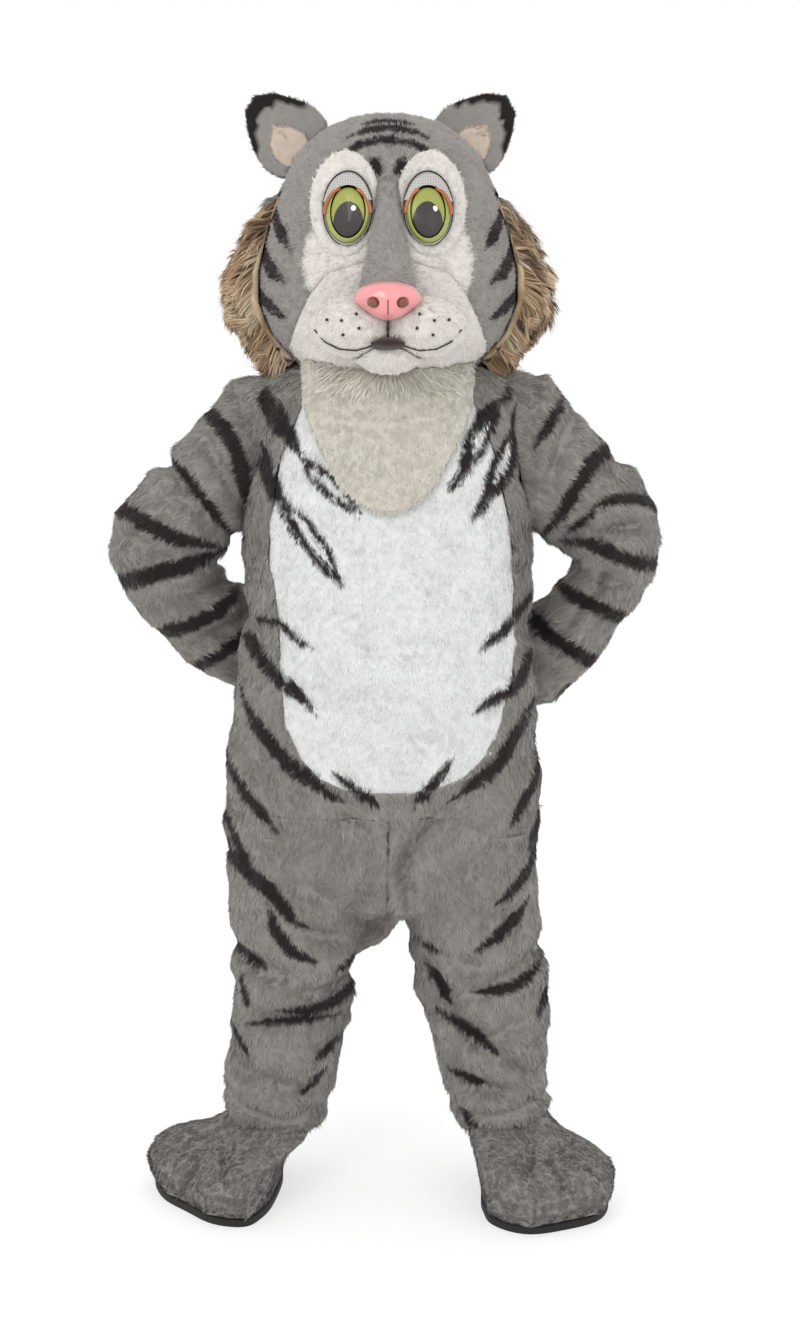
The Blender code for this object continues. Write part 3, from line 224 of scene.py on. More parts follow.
def clothFinish(name, pitch=0.0022):  # the backing that the pile grows from
    material, nodes, links, shader = newFinish(name, 0.95, 0.15, specular=0.2)
    colour, tone = nodes.new("ShaderNodeAttribute"), placed(nodes, toneGroup, Size=90.0, Amount=0.35)
    colour.attribute_name = "coat"
    knit = placed(nodes, knitGroup, Pitch=pitch)
    links.new(colour.outputs["Color"], tone.inputs["Colour"])
    links.new(tone.outputs["Colour"], shader.inputs["Base Color"])
    bumped(nodes, links, shader, knit.outputs["Height"], 0.5, 0.0008)
    return material


def plainFinish(name, colour, rough, size=120.0, amount=0.2, depth=0.0003, **more):
    material, nodes, links, shader = newFinish(name, rough, **more)
    tone = placed(nodes, toneGroup, Size=size, Amount=amount)
    tone.inputs["Colour"].default_value = (*colour, 1)
    links.new(tone.outputs["Colour"], shader.inputs["Base Color"])
    bumped(nodes, links, shader, tone.outputs["Mask"], 0.4, depth)
    return material


def woven(nodes, links, thread, hole, pitch):  # the colour and height of an open mesh
    grid, mix = placed(nodes, gridGroup, Pitch=pitch), nodes.new("ShaderNodeMix")
    sharp = nodes.new("ShaderNodeValToRGB")
    mix.data_type = "RGBA"
    mix.inputs[6].default_value, mix.inputs[7].default_value = (*hole, 1), (*thread, 1)
    sharp.color_ramp.elements[0].position, sharp.color_ramp.elements[1].position = 0.80, 0.93
    links.new(grid.outputs["Thread"], sharp.inputs[0])
    links.new(sharp.outputs["Color"], mix.inputs[0])
    return mix.outputs[2], grid.outputs["Thread"]


def meshFinish(name, thread, hole, pitch, rough, **more):
    material, nodes, links, shader = newFinish(name, rough, **more)
    colour, height = woven(nodes, links, thread, hole, pitch)
    links.new(colour, shader.inputs["Base Color"])
    bumped(nodes, links, shader, height, 0.5, 0.0006)
    return material


def pupilFinish(name, dark, hole, green, oval, pitch, rough):  # dark mesh in the oval, green paint round it
    material, nodes, links, shader = newFinish(name, rough, coat=0.3)
    colour, height = woven(nodes, links, dark, hole, pitch)
    tone, inside = placed(nodes, toneGroup, Size=160.0, Amount=0.5), placed(nodes, ovalGroup)
    paint = nodes.new("ShaderNodeMix")
    for label, value in zip(("Aside", "Height", "Half Width", "Half Height"), oval):
        inside.inputs[label].default_value = value
    paint.data_type = "RGBA"
    tone.inputs["Colour"].default_value = (*green, 1)
    links.new(inside.outputs["Inside"], paint.inputs[0])
    links.new(tone.outputs["Colour"], paint.inputs[6])
    links.new(colour, paint.inputs[7])
    links.new(paint.outputs[2], shader.inputs["Base Color"])
    bumped(nodes, links, shader, height, 0.4, 0.0004)
    return material


# One row for each dye: the strands of one dye differ only in lightness.
dyes = {
    "black": linear(38, 32, 30),
    "grey": linear(147, 143, 138),
    "headGrey": linear(156, 152, 147),
    "white": linear(229, 230, 228),
    "faceWhite": linear(230, 225, 219),
    "cream": linear(211, 206, 195),
    "peach": linear(212, 196, 181),
    "sand": linear(206, 186, 158),
    "tan": linear(184, 154, 120),
    "brown": linear(140, 110, 82),
    "umber": linear(98, 78, 60),
    "greyEdge": linear(98, 93, 90),
    "whiteEdge": linear(148, 148, 150),
}
dyeNames = list(dyes)
dyeTable = np.array([dyes[n] for n in dyeNames])
dyeOf = {n: i for i, n in enumerate(dyeNames)}
lightest, darkest = 1.45, 0.25  # the lightness at the two ends of a dye's row

finishes = {
    "grey_plush": (clothFinish("greyCloth"), pileFinish("greyPile")),
    "short_grey_plush": (clothFinish("headCloth", 0.0015), pileFinish("headPile", 0.9, 0.35)),
    "white_plush": (clothFinish("whiteCloth"), pileFinish("whitePile", 0.8, 0.2)),
    "cream_plush": (clothFinish("creamCloth"), pileFinish("creamPile", 0.85, 0.2)),
    "tan_fur": (clothFinish("tanCloth"), pileFinish("tanPile", 0.7, 0.2)),
}


softEdges = {"grey": "greyEdge", "headGrey": "greyEdge", "white": "whiteEdge", "faceWhite": "whiteEdge"}
Stripe = namedtuple("Stripe", "wide path dye taper")


def stripe(wide, *path, dye="black", taper="both"):  # in millimetres: width, then x and height in turn
    return Stripe(wide / 1000, np.array(path) / 1000, dye, taper)


def tapering(wide, *path):  # a stripe that stays broad at its first end
    return stripe(wide, *path, taper="last")


edging = {  # how soon a stripe widens from its ends, how blunt they are, and how soft a white slot is
    "past": 1.02, "widens": 2.8, "blunt": 0.12, "slot": 0.5, "coarse": 0.012, "fine": 0.005, "fineShare": 0.6,
}


def painted(dye, flat, points, rows, jag=0.0012, soft=0.0012):  # lays the rows over the dye in turn
    fine = edging["fineShare"] * waves(points, edging["fine"], 6)
    ragged = jag * (waves(points, edging["coarse"], 5) + fine)
    for row in rows:
        gap, _, _, share = nearestOn(flat, rounded(row.path))
        left = edging["past"] - share
        near = np.minimum(share, left) if row.taper == "both" else left
        beyond = gap + ragged - row.wide / 2 * np.minimum(1, edging["widens"] * near + edging["blunt"])
        blend = soft * (1.0 if row.dye == "black" else edging["slot"])
        rim = np.abs(beyond) < blend
        for under, edge in softEdges.items() if row.dye == "black" else [("black", "whiteEdge")]:
            dye[rim & (dye == dyeOf[under])] = dyeOf[edge]
        dye[beyond < -blend] = dyeOf[row.dye]
    return dye


sleeveStripes = {
    -1: [
        tapering(26, -302, 1338, -276, 1311, -254, 1277, -243, 1244, -236, 1165),
        stripe(19, -392, 1280, -335, 1225, -290, 1165, -252, 1105),
        tapering(27, -484, 1185, -420, 1158, -360, 1122, -280, 1108),
        tapering(28, -490, 1035, -420, 1058, -350, 1070, -276, 1104),
        tapering(26, -412, 946, -340, 972, -290, 992, -252, 1045),
        tapering(24, -352, 880, -290, 918, -240, 950, -198, 1020),
    ],
    1: [
        stripe(18, 298, 1368, 273, 1319, 245, 1276),
        tapering(25, 392, 1280, 340, 1256, 308, 1195, 262, 1125),
        tapering(21, 476, 1170, 430, 1188, 385, 1192, 340, 1172),
        stripe(13, 352, 1180, 330, 1152, 300, 1128),
        tapering(26, 482, 1072, 400, 1086, 352, 1110, 296, 1118),
        tapering(24, 432, 972, 360, 1000, 315, 1022, 276, 1066),
        tapering(26, 374, 892, 314, 928, 272, 954, 230, 1012),
        stripe(15, 338, 864, 298, 824),
    ],
}
frontStripes = [
    tapering(36, -246, 1398, -210, 1362, -186, 1325, -161, 1290, -141, 1260),
    tapering(26, -232, 1300, -205, 1250, -186, 1205, -172, 1165),
    stripe(33, -143, 1262, -110, 1225, -80, 1200, -45, 1166),
    stripe(37, -178, 1195, -140, 1140, -112, 1105, -78, 1052),
    stripe(12, -128, 1240, -104, 1222, -80, 1202, -60, 1182, dye="white"),
    stripe(13, -158, 1170, -132, 1136, -110, 1108, -92, 1080, dye="white"),
    stripe(39, 190, 1358, 158, 1318, 140, 1270, 116, 1236),
    stripe(12, 166, 1316, 150, 1290, 138, 1262, dye="white"),
    stripe(18, 140, 1262, 128, 1240, 100, 1200),
    stripe(41, 210, 1310, 196, 1262, 180, 1222, 152, 1180),
    stripe(13, 200, 1286, 188, 1250, 174, 1216, dye="white"),
    stripe(18, 184, 1212, 162, 1192, 138, 1156),
    stripe(15, 206, 1392, 192, 1345),
    tapering(21, 266, 1378, 228, 1349, 211, 1324, 208, 1290),
    tapering(13, -214, 990, -178, 988, -161, 972, -144, 956, -122, 947),
    tapering(23, -232, 954, -195, 907, -169, 888, -144, 866, -116, 840),
    tapering(17, 236, 1020, 202, 986, 185, 966, 148, 941),
    tapering(20, 236, 926, 220, 884, 194, 865, 168, 856, 140, 838),
    stripe(26, -248, 876, -224, 820, -182, 770, -138, 732, -74, 690),
    stripe(17, -94, 742, -46, 708, -14, 682),
    stripe(18, 106, 768, 80, 726, 40, 680),
    stripe(26, 252, 856, 214, 798, 190, 756, 140, 716, 104, 692),
]
legStripes = {
    -1: [
        tapering(19, -280, 754, -242, 698, -184, 630),
        tapering(17, -276, 644, -246, 590, -224, 560),
        tapering(27, -280, 594, -236, 560, -200, 535, -174, 500, -138, 464),
        stripe(21, -208, 512, -184, 456, -160, 424, -120, 404),
        tapering(20, -274, 426, -232, 406, -208, 388),
        stripe(15, -250, 380, -240, 322),
        stripe(14, -48, 404, -90, 386),
        tapering(20, -52, 350, -92, 328, -146, 318, -190, 322),
        stripe(14, -242, 290, -162, 303, -82, 304),
        stripe(16, -272, 284, -240, 234),
        stripe(14, -84, 260, -128, 230),
        stripe(14, -106, 216, -150, 168),
    ],
    1: [
        tapering(19, 266, 752, 238, 690, 204, 640),
        tapering(15, 266, 652, 240, 590),
        tapering(19, 268, 610, 238, 560, 186, 506),
        stripe(21, 238, 516, 208, 466, 144, 428),
        stripe(12, 46, 438, 88, 424),
        stripe(20, 64, 394, 92, 364, 106, 326),
        stripe(19, 80, 318, 126, 294, 156, 274, 188, 242),
        stripe(18, 100, 210, 138, 200, 176, 182),
        stripe(16, 268, 406, 232, 369, 196, 358, 142, 352),
        stripe(20, 290, 354, 258, 304),
        stripe(13, 122, 142, 160, 110),
    ],
}
# The back, from the spine outwards, the same on both sides
backStripes = [
    stripe(20, 12, 1300, 80, 1282, 150, 1300, 215, 1345),
    stripe(22, 16, 1200, 90, 1176, 170, 1190, 250, 1235),
    stripe(20, 12, 1100, 80, 1074, 160, 1082, 245, 1120),
    stripe(22, 18, 1000, 100, 970, 180, 982, 246, 1020),
    stripe(20, 12, 905, 90, 880, 170, 884, 250, 915),
    stripe(20, 40, 800, 110, 782, 190, 796, 262, 840),
    stripe(18, 60, 700, 130, 690, 200, 712, 268, 760),
]
calfStripes = [
    stripe(18, 60, 610, 120, 588, 190, 598, 262, 630),
    stripe(18, 262, 560, 200, 520, 120, 508),
    stripe(16, 70, 440, 130, 424, 190, 440, 240, 470),
    stripe(16, 270, 380, 200, 352, 120, 344),
    stripe(15, 90, 282, 150, 268, 220, 284),
    stripe(14, 270, 226, 210, 204, 140, 200),
]
# The head, on a pattern unrolled from straight ahead; the same on both sides
headStripes = [
    stripe(17, -40, 164, 0, 169, 40, 164, 80, 144),
    stripe(17, -36, 192, 0, 196, 36, 192, 68, 178),
    stripe(15, -26, 216, 0, 219, 26, 216, 50, 206),
    stripe(18, 28, 142, 12, 108),
    tapering(25, 250, 84, 216, 38, 172, -8),
    tapering(28, 286, 20, 236, -30, 174, -62),
    tapering(26, 290, -58, 236, -96, 170, -118),
]
nuchalStripes = [
    stripe(14, 0, 190, 50, 184, 94, 160),
    stripe(15, 0, 140, 70, 132, 130, 106),
    stripe(15, 30, 88, 96, 80, 160, 60),
]


def zeros(points, name):
    return np.full(len(points), dyeOf[name])


def flatFront(points, mirrored=False):
    x = np.abs(points[:, 0]) if mirrored else points[:, 0]
    return np.stack([x, points[:, 2] - ground], 1)


def sideOf(points):
    return 1 if points[:, 0].mean() > 0 else -1


def twoSided(points, behind, frontRows, backRows):  # rows for the front, and mirrored ones for the back
    dye = zeros(points, "grey")
    for part, rows, mirrored in ((~behind, frontRows, False), (behind, backRows, True)):
        dye[part] = painted(dye[part], flatFront(points[part], mirrored), points[part], rows)
    return dye


def bodyCoat(points, normals):
    return twoSided(points, normals[:, 1] > 0.1, frontStripes + legStripes[sideOf(points)], backStripes)


def bellyCoat(points, normals):
    return painted(zeros(points, "white"), flatFront(points), points, frontStripes)


def sleeveCoat(points, normals):
    return painted(zeros(points, "grey"), flatFront(points), points, sleeveStripes[sideOf(points)])


def legCoat(points, normals):
    frontRows = legStripes[sideOf(points)] + frontStripes
    return twoSided(points, normals[:, 1] > 0.15, frontRows, calfStripes + backStripes)


headMiddle = np.array([0.0, 0.0, upright(1.60)])
headReach = 0.20


def unrolled(points, ahead):  # angles from straight ahead, or behind, as lengths on the head
    way = unit(points - headMiddle)
    across = np.stack([np.abs(way[:, 0]), way[:, 2]], 1)
    angle = np.arccos(np.clip(-way[:, 1] * ahead, -1, 1))
    return unit(across) * (angle * headReach)[:, None]


whiteCheek = {"x": 0.082, "height": 1.572, "across": 0.056, "tall": 0.078}


def headCoat(points, normals):
    dye = zeros(points, "headGrey")
    front = points[:, 1] < 0
    aside = (np.abs(points[:, 0]) - whiteCheek["x"]) / whiteCheek["across"]
    up = (points[:, 2] - upright(whiteCheek["height"])) / whiteCheek["tall"]
    dye[front & (aside ** 2 + up ** 2 + 0.06 * waves(points, 0.012, 11) < 1)] = dyeOf["faceWhite"]
    dye[front] = painted(dye[front], unrolled(points[front], 1), points[front], headStripes, 0.0005, 0.0004)
    back = ~front
    dye[back] = painted(dye[back], unrolled(points[back], -1), points[back], nuchalStripes, 0.0008, 0.0006)
    return dye


def faceCoat(points, normals):
    return painted(zeros(points, "faceWhite"), unrolled(points, 1), points, headStripes, 0.0005, 0.0004)


earShape = {"x": {-1: 0.162, 1: 0.136}, "height": 1.789, "reach": 0.066, "tip": 0.45, "power": 6}


def earCoat(points, normals):  # black round the tip and down the outer edge
    side = sideOf(points)
    off = points[:, [0, 2]] * (side, 1) - (earShape["x"][side], upright(earShape["height"]))
    far = np.maximum(unit(off) @ unit(np.array([1.0, 1.0])), 0)
    share = np.linalg.norm(off, axis=1) / earShape["reach"] / (1 + earShape["tip"] * far ** earShape["power"])
    rim = 0.86 - 0.14 * far ** 6 - 8 * np.maximum(points[:, 1] - 0.020, 0)
    dark = (share + 0.04 * waves(points, 0.012, 9) > rim) & (far > 0.42)
    return np.where(dark, dyeOf["black"], dyeOf["headGrey"])


def plainCoat(name):
    return lambda points, normals: zeros(points, name)


def maneCoat(points, normals):
    band = waves(points * np.array([1.0, 1.0, 0.35]), 0.035, 21) + 0.5 * waves(points, 0.014, 22)
    names = ["umber", "brown", "tan", "sand"]
    dye = np.array([dyeOf[n] for n in names])[np.digitize(band, [-1.0, -0.35, 0.45])]
    dye[points[:, 2] > upright(1.684) + 0.009 * waves(points, 0.030, 23)] = dyeOf["headGrey"]
    return dye


wearer = {  # lines down the middle of what each panel wraps round: x, y and height
    "torso": [(0, 0, 0.50), (0, 0, 1.42)],
    "head": [(0, 0, 1.52), (0, 0, 1.72)],
    "sleeve_left": [(-0.14, 0, 1.31), (-0.25, 0, 1.25), (-0.38, 0.015, 1.125), (-0.385, 0.04, 1.07),
                    (-0.335, 0.09, 0.99), (-0.25, 0.15, 0.935), (-0.176, 0.188, 0.935)],
    "sleeve_right": [(0.14, 0, 1.31), (0.25, 0, 1.25), (0.385, 0.015, 1.14), (0.39, 0.04, 1.08),
                     (0.345, 0.09, 1.0), (0.27, 0.15, 0.905), (0.18, 0.188, 0.90)],
    "leg_left": [(-0.132, 0, 0.70), (-0.152, 0, 0.52), (-0.166, 0, 0.313), (-0.198, 0, 0.08)],
    "leg_right": [(0.128, 0, 0.70), (0.14, 0, 0.52), (0.166, 0, 0.313), (0.196, 0, 0.08)],
    "foot_left": [(-0.203, 0.0, 0.21), (-0.205, 0.0, 0.085), (-0.29, -0.15, 0.045)],
    "foot_right": [(0.203, 0.0, 0.21), (0.205, 0.0, 0.085), (0.265, -0.16, 0.045)],
    "paw_left": [(-0.22, 0.168, 0.95), (-0.12, 0.203, 0.935), (-0.04, 0.207, 0.93)],
    "paw_right": [(0.22, 0.168, 0.915), (0.12, 0.203, 0.905), (0.04, 0.207, 0.90)],
    "tail": [(0, 0.128, 0.79), (0.006, 0.214, 0.73), (0.016, 0.27, 0.61), (0.01, 0.294, 0.48),
             (-0.048, 0.30, 0.378), (-0.138, 0.29, 0.372), (-0.18, 0.282, 0.45), (-0.182, 0.28, 0.48)],
    "muzzle_left": [(-0.058, -0.195, 1.455), (-0.04, -0.195, 1.455)],
    "muzzle_right": [(0.04, -0.195, 1.455), (0.058, -0.195, 1.455)],
    "chin": [(-0.02, -0.185, 1.425), (0.02, -0.185, 1.425)],
    "nose_bridge": [(0, -0.15, 1.69), (0, -0.20, 1.53)],
    "ear_left": [(-0.155, 0.012, 1.77), (-0.185, 0.012, 1.815)],
    "ear_right": [(0.125, 0.012, 1.77), (0.165, 0.012, 1.815)],
}
wearer = {name: np.array(line) + (0, 0, ground) for name, line in wearer.items()}

Crease = namedtuple("Crease", "wide deep path")


def crease(wide, deep, *path):  # in millimetres: half width, depth, then x and height in turn
    return Crease(wide / 1000, deep / 1000, np.array(path) / 1000)


# Pressed into the cloth, front and back alike
creases = {
    "belly": [
        crease(16, 4, -150, 1152, -79, 1138, -20, 1120),
        crease(15, 4, 10, 1088, 78, 1055, 145, 1018),
        crease(14, 4, -86, 1024, -46, 972, -18, 920),
        crease(18, 5, -150, 872, -47, 860, 56, 856),
        crease(15, 4, -14, 954, 70, 947, 156, 936),
        crease(13, 3, 40, 1150, 90, 1128, 120, 1090),
        crease(14, 4, 0, 806, 70, 790, 134, 800),
        crease(13, 3, -124, 800, -70, 784, -20, 790),
        crease(12, 3, -120, 940, -90, 905, -60, 900),
    ],
    "bib": [
        crease(7, 3, -150, 1338, -78, 1316, 11, 1312, 100, 1334),
        crease(16, 3, -100, 1270, -30, 1250, 50, 1262),
        crease(10, 3, -90, 1375, -60, 1350),
        crease(10, 3, 80, 1378, 52, 1352),
    ],
    "body": [
        crease(11, 6, -262, 1012, -226, 972, -198, 925),
        crease(11, 6, 262, 1000, 228, 962, 205, 930),
        crease(12, 6, -262, 800, -230, 770, -205, 705),
        crease(12, 5, 262, 780, 225, 735, 190, 700),
        crease(9, 4, -226, 1385, -214, 1330, -212, 1260, -222, 1180),
        crease(9, 4, 228, 1388, 222, 1330, 224, 1260, 232, 1180),
    ],
    "sleeve_left": [
        crease(9, 6, -268, 1392, -238, 1349, -221, 1302, -218, 1261, -222, 1190),
        crease(8, 7, -306, 1296, -271, 1233, -240, 1186, -231, 1148),
        crease(10, 10, -412, 1268, -352, 1238, -302, 1176, -262, 1118),
        crease(8, 8, -380, 1210, -335, 1191, -314, 1161, -300, 1118),
        crease(10, 8, -410, 1078, -350, 1086, -286, 1094),
        crease(9, 6, -366, 1024, -300, 1034, -258, 1056),
        crease(10, 6, -336, 934, -270, 964, -232, 1004),
        crease(12, 6, -470, 1120, -430, 1128, -380, 1104),
    ],
    "sleeve_right": [
        crease(9, 5, 254, 1398, 238, 1340, 232, 1280, 240, 1195),
        crease(10, 7, 318, 1350, 288, 1280, 258, 1195),
        crease(9, 10, 362, 1182, 329, 1153, 292, 1122),
        crease(10, 8, 440, 1150, 370, 1140, 306, 1116),
        crease(7, 7, 374, 1070, 350, 1016),
        crease(7, 7, 340, 1006, 304, 952),
        crease(10, 7, 420, 1032, 350, 1050, 304, 1060),
        crease(11, 8, 336, 896, 290, 930, 248, 990),
        crease(12, 6, 400, 1262, 360, 1232, 330, 1190),
    ],
    "leg": [
        crease(8, 9, 92, 676, 58, 643, 30, 610, 20, 560),
        crease(7, 7, -96, 674, -50, 655, -18, 626),
        crease(7, 7, 22, 590, 34, 535, 40, 480),
        crease(8, 6, -24, 580, -40, 530, -62, 485),
        crease(18, 5, -206, 610, -116, 618, -30, 608),
        crease(20, 5, -220, 548, -130, 530, -60, 546),
        crease(10, 8, -154, 470, -108, 453, -64, 450),
        crease(13, 10, -272, 424, -225, 396, -190, 386, -145, 372),
        crease(12, 11, -52, 366, -123, 346, -196, 330),
        crease(11, 11, -242, 303, -161, 306, -80, 308),
        crease(10, 6, -126, 248, -84, 268),
        crease(12, 7, -256, 252, -244, 200),
        crease(13, 6, -232, 212, -180, 190, -136, 186),
        crease(7, 7, -154, 192, -140, 150),
        crease(10, 8, 104, 402, 142, 396, 182, 404),
        crease(12, 11, 262, 418, 220, 385, 160, 360, 126, 352),
        crease(10, 9, 68, 396, 84, 371, 102, 342),
        crease(12, 10, 82, 334, 132, 298, 150, 270, 182, 248),
        crease(10, 7, 154, 272, 185, 278, 218, 292),
        crease(11, 7, 116, 218, 150, 198, 194, 178),
        crease(11, 7, 196, 238, 236, 204),
        crease(10, 6, 132, 182, 199, 174, 264, 158),
        crease(18, 5, 66, 546, 129, 560, 196, 570),
        crease(16, 5, 86, 506, 155, 491, 230, 476),
        crease(6, 6, -300, 170, -249, 152, -186, 133, -133, 136, -96, 148),
        crease(6, 6, 96, 150, 136, 138, 207, 142, 292, 164),
    ],
}
creasesOf = {
    "belly_panel": ["belly"], "bib": ["bib"],
    "sleeve_left": ["sleeve_left"], "sleeve_right": ["sleeve_right"],
}
for side in sides:
    for panel in ("front", "back", "leg_front", "leg_back"):
        creasesOf[f"{panel}_{side}"] = ["body", "leg"]
Cover = namedtuple("Cover", "side turn slant ahead aside toe half")
footCover = {  # how the tread is turned and slanted, its middle from the ankle, its reach and half width
    "foot_left": Cover(-1, 23, 0.56, 0.094, 0.056, 0.160, 0.128),
    "foot_right": Cover(1, 14, 0.24, 0.094, 0.024, 0.196, 0.106),
}
ankle = {"out": 0.203, "y": -0.014}
toeCrease = {"angles": (-33, 0, 33), "shares": (0.35, 0.65, 1.0), "wide": 0.009, "deep": 0.014,
             "fan": 0.39, "slantFrom": 0.15, "above": 0.03}


ridge = {"high": 0.30, "away": 2.1, "wide": 0.9}  # the raised edge along a crease, in crease widths


def dented(flat, rows):  # how deep the creases are at each point, with a soft ridge on each side
    deep = np.zeros(len(flat))
    for row in rows:
        gap, _, _, share = nearestOn(flat, rounded(row.path))
        off = gap / row.wide
        profile = np.exp(-off ** 2) - ridge["high"] * np.exp(-((off - ridge["away"]) / ridge["wide"]) ** 2)
        deep += row.deep * profile * np.sin(np.pi * np.clip(share, 0.05, 0.95)) ** 0.5
    return deep


def toeRows(node):
    cover = footCover[node]
    side, turn = cover.side, math.radians(cover.turn)
    way = np.array([side * math.sin(turn), -math.cos(turn)])
    aside = np.array([side * math.cos(turn), math.sin(turn)])
    rows = []
    for angle in map(math.radians, toeCrease["angles"]):
        path = []
        for share in toeCrease["shares"]:
            fan = 1 + toeCrease["fan"] * math.cos(angle)
            out = cover.aside + cover.half * share * math.sin(angle) * fan
            ahead = cover.ahead + cover.toe * share * math.cos(angle)
            ahead -= cover.slant * out * min(ahead / toeCrease["slantFrom"], 1)
            path.append(np.array([side * ankle["out"], ankle["y"]]) + way * ahead + aside * out)
        rows.append(Crease(toeCrease["wide"], toeCrease["deep"], np.concatenate(path)))
    return rows


# How much deeper and wider each group's creases lie, and how far its cloth waves between them
relief = {
    "belly": (1.3, 1.2, 0.0015), "bib": (1.4, 1.2, 0.0010), "body": (1.5, 1.5, 0.0026),
    "sleeve_left": (1.7, 1.3, 0.0035), "sleeve_right": (1.7, 1.3, 0.0035), "leg": (1.8, 1.4, 0.0026),
}


def folded(node, points):
    if node in footCover:
        return dented(points[:, :2], toeRows(node)) * (points[:, 2] - ground > toeCrease["above"])
    rows = []
    for group in creasesOf.get(node, []):
        deeper, wider, _ = relief[group]
        rows += [Crease(row.wide * wider, row.deep * deeper, row.path) for row in creases[group]]
    return dented(flatFront(points), rows)


def pressed(node, points):  # the creases, and the soft waves of the cloth between them
    deep = folded(node, points)
    if node in creasesOf:
        deep += relief[creasesOf[node][-1]][2] * waves(points * np.array([1.0, 1.0, 1.5]), 0.10, 31)
    return deep


shoulder = {"x": 0.195, "height": 1.402, "across": 0.050, "tall": 0.035, "rise": 0.013}


def raised(node, points):  # the top of the shoulder, rounded up towards the neck
    if node.split("_")[0] not in ("front", "back", "sleeve"):
        return np.zeros(len(points))
    away = (np.abs(points[:, 0]) - shoulder["x"]) / shoulder["across"]
    up = (points[:, 2] - upright(shoulder["height"])) / shoulder["tall"]
    return shoulder["rise"] * np.exp(-away ** 2 - np.minimum(up, 0) ** 2)


def outward(points, normals, line):  # how far each normal points away from the wearer
    return np.einsum("ij,ij->i", unit(points - nearestOn(points, line)[1]), normals)


pieces = {}


def ride(piece):
    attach(piece, "root")
    return piece


def surfaces(*names):
    seen = bpy.context.evaluated_depsgraph_get()
    return [BVHTree.FromObject(bpy.data.objects[name], seen) for name in names]


def added(name, data):
    made = bpy.data.objects.new(name, data)
    bpy.context.scene.collection.objects.link(made)
    return made


def newPiece(name, bm, *materials, smooth=True):
    mesh = bpy.data.meshes.new(name)
    bm.to_mesh(mesh)
    bm.free()
    for material in materials:
        mesh.materials.append(material)
    if smooth:
        mesh.shade_smooth()
    return added(name, mesh)


def coloured(mesh, colours):
    full = np.ones((len(mesh.vertices), 4))
    full[:, :3] = colours
    mesh.color_attributes.new("coat", "FLOAT_COLOR", "POINT").data.foreach_set("color", full.ravel())


def numbers(items, kind, each=3, dtype=float):  # one attribute of all these items, row by row
    out = np.zeros(len(items) * each, dtype)
    items.foreach_get(kind, out)
    return out.reshape(-1, each)


def nodeCopy(node):
    bm = bmesh.new()
    bm.from_mesh(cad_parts[node].data)
    bmesh.ops.remove_doubles(bm, verts=bm.verts, dist=0.00001)
    return bm


def halved(bm, edges):  # cuts these edges in two, and leaves only triangles
    bmesh.ops.subdivide_edges(bm, edges=edges, cuts=1)
    bmesh.ops.triangulate(bm, faces=[f for f in bm.faces if len(f.verts) > 3])


def spread(verts):  # the places and the normals of vertices, row by row
    return np.array([v.co for v in verts]), np.array([v.normal for v in verts])


working = {  # how a panel's cloth is cut finer, and how much darker than its pile it is
    "over": 1.4, "crease": 0.0015, "outer": 0.2, "creaseStep": 0.010, "corner": 0.6, "turnIn": 3,
    "shade": 0.85,
}


def clothFrom(node, line, slotName, coat, sink=0.005, fine=0.015, soften=2):
    # The cloth of one panel, from its own solid: finer, softened, creased and let in by the pile's depth.
    bm = nodeCopy(node)
    for _ in range(3):
        long = [e for e in bm.edges if e.calc_length() > fine * working["over"]]
        if long:
            halved(bm, long)
    for _ in range(2 if node in creasesOf or node in footCover else 0):
        bm.normal_update()
        middles = np.array([(e.verts[0].co + e.verts[1].co) / 2 for e in bm.edges])
        out = outward(middles, np.array([e.verts[0].normal + e.verts[1].normal for e in bm.edges]), line)
        creased = (np.abs(folded(node, middles)) > working["crease"]) & (out > working["outer"])
        step = working["creaseStep"]
        halved(bm, [e for e, near in zip(bm.edges, creased) if near and e.calc_length() > step])
    bm.normal_update()
    flat = {e for e in bm.edges if e.is_manifold and e.calc_face_angle(0) < working["corner"]}
    inner = [v for v in bm.verts if all(e in flat for e in v.link_edges)]
    for _ in range(soften):
        bmesh.ops.smooth_vert(bm, verts=inner, factor=0.5, use_axis_x=True, use_axis_y=True, use_axis_z=True)
    bm.normal_update()
    points, normals = spread(bm.verts)
    facing = outward(points, normals, line)
    inwards = -unit(points - nearestOn(points, line)[1])
    let = pressed(node, points) + sink * np.clip(facing * working["turnIn"], 0, 1)
    moved = points + inwards * let[:, None]
    moved[:, 2] += raised(node, points)
    for v, place in zip(bm.verts, moved):
        v.co = place
    piece = newPiece(node + "_cloth", bm, finishes[slotName][0])
    mesh = piece.data
    points, normals = spread(mesh.vertices)
    coloured(mesh, dyeTable[coat(points, normals)] * working["shade"])
    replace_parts(ride(piece), node)
    pieces[node] = {"cloth": piece, "line": line, "coat": coat, "slot": slotName}
    return piece


def seated(node, *under):  # draws the back and the lower end of a stuffed piece out to what it is sewn on
    mesh = pieces[node]["cloth"].data
    trees = surfaces(*(name + "_cloth" for name in under))
    for way, facing in ((Vector((0, 0, -1)), lambda n: -n.z - 0.6), (Vector((0, 1, 0)), lambda n: n.y - 0.3)):
        mesh.update()
        for v in [v for v in mesh.vertices if facing(v.normal) > 0]:
            hits = [hit[3] for hit in (tree.ray_cast(v.co, way, 0.07) for tree in trees) if hit[0]]
            if hits:
                v.co += way * max(min(hits) - 0.001, 0)
    mesh.update()


def alongLine(points, normals, line):
    return nearestOn(points, line)[2]


def downward(points, normals, line):
    return np.tile([0.0, 0.0, -1.0], (len(points), 1))


def fromNose(points, normals, line):
    way = unit(points - (0, -0.27, upright(1.53)))
    return way + (0, 0, -0.25)


def fromMiddle(points, normals, line):
    return points - headMiddle


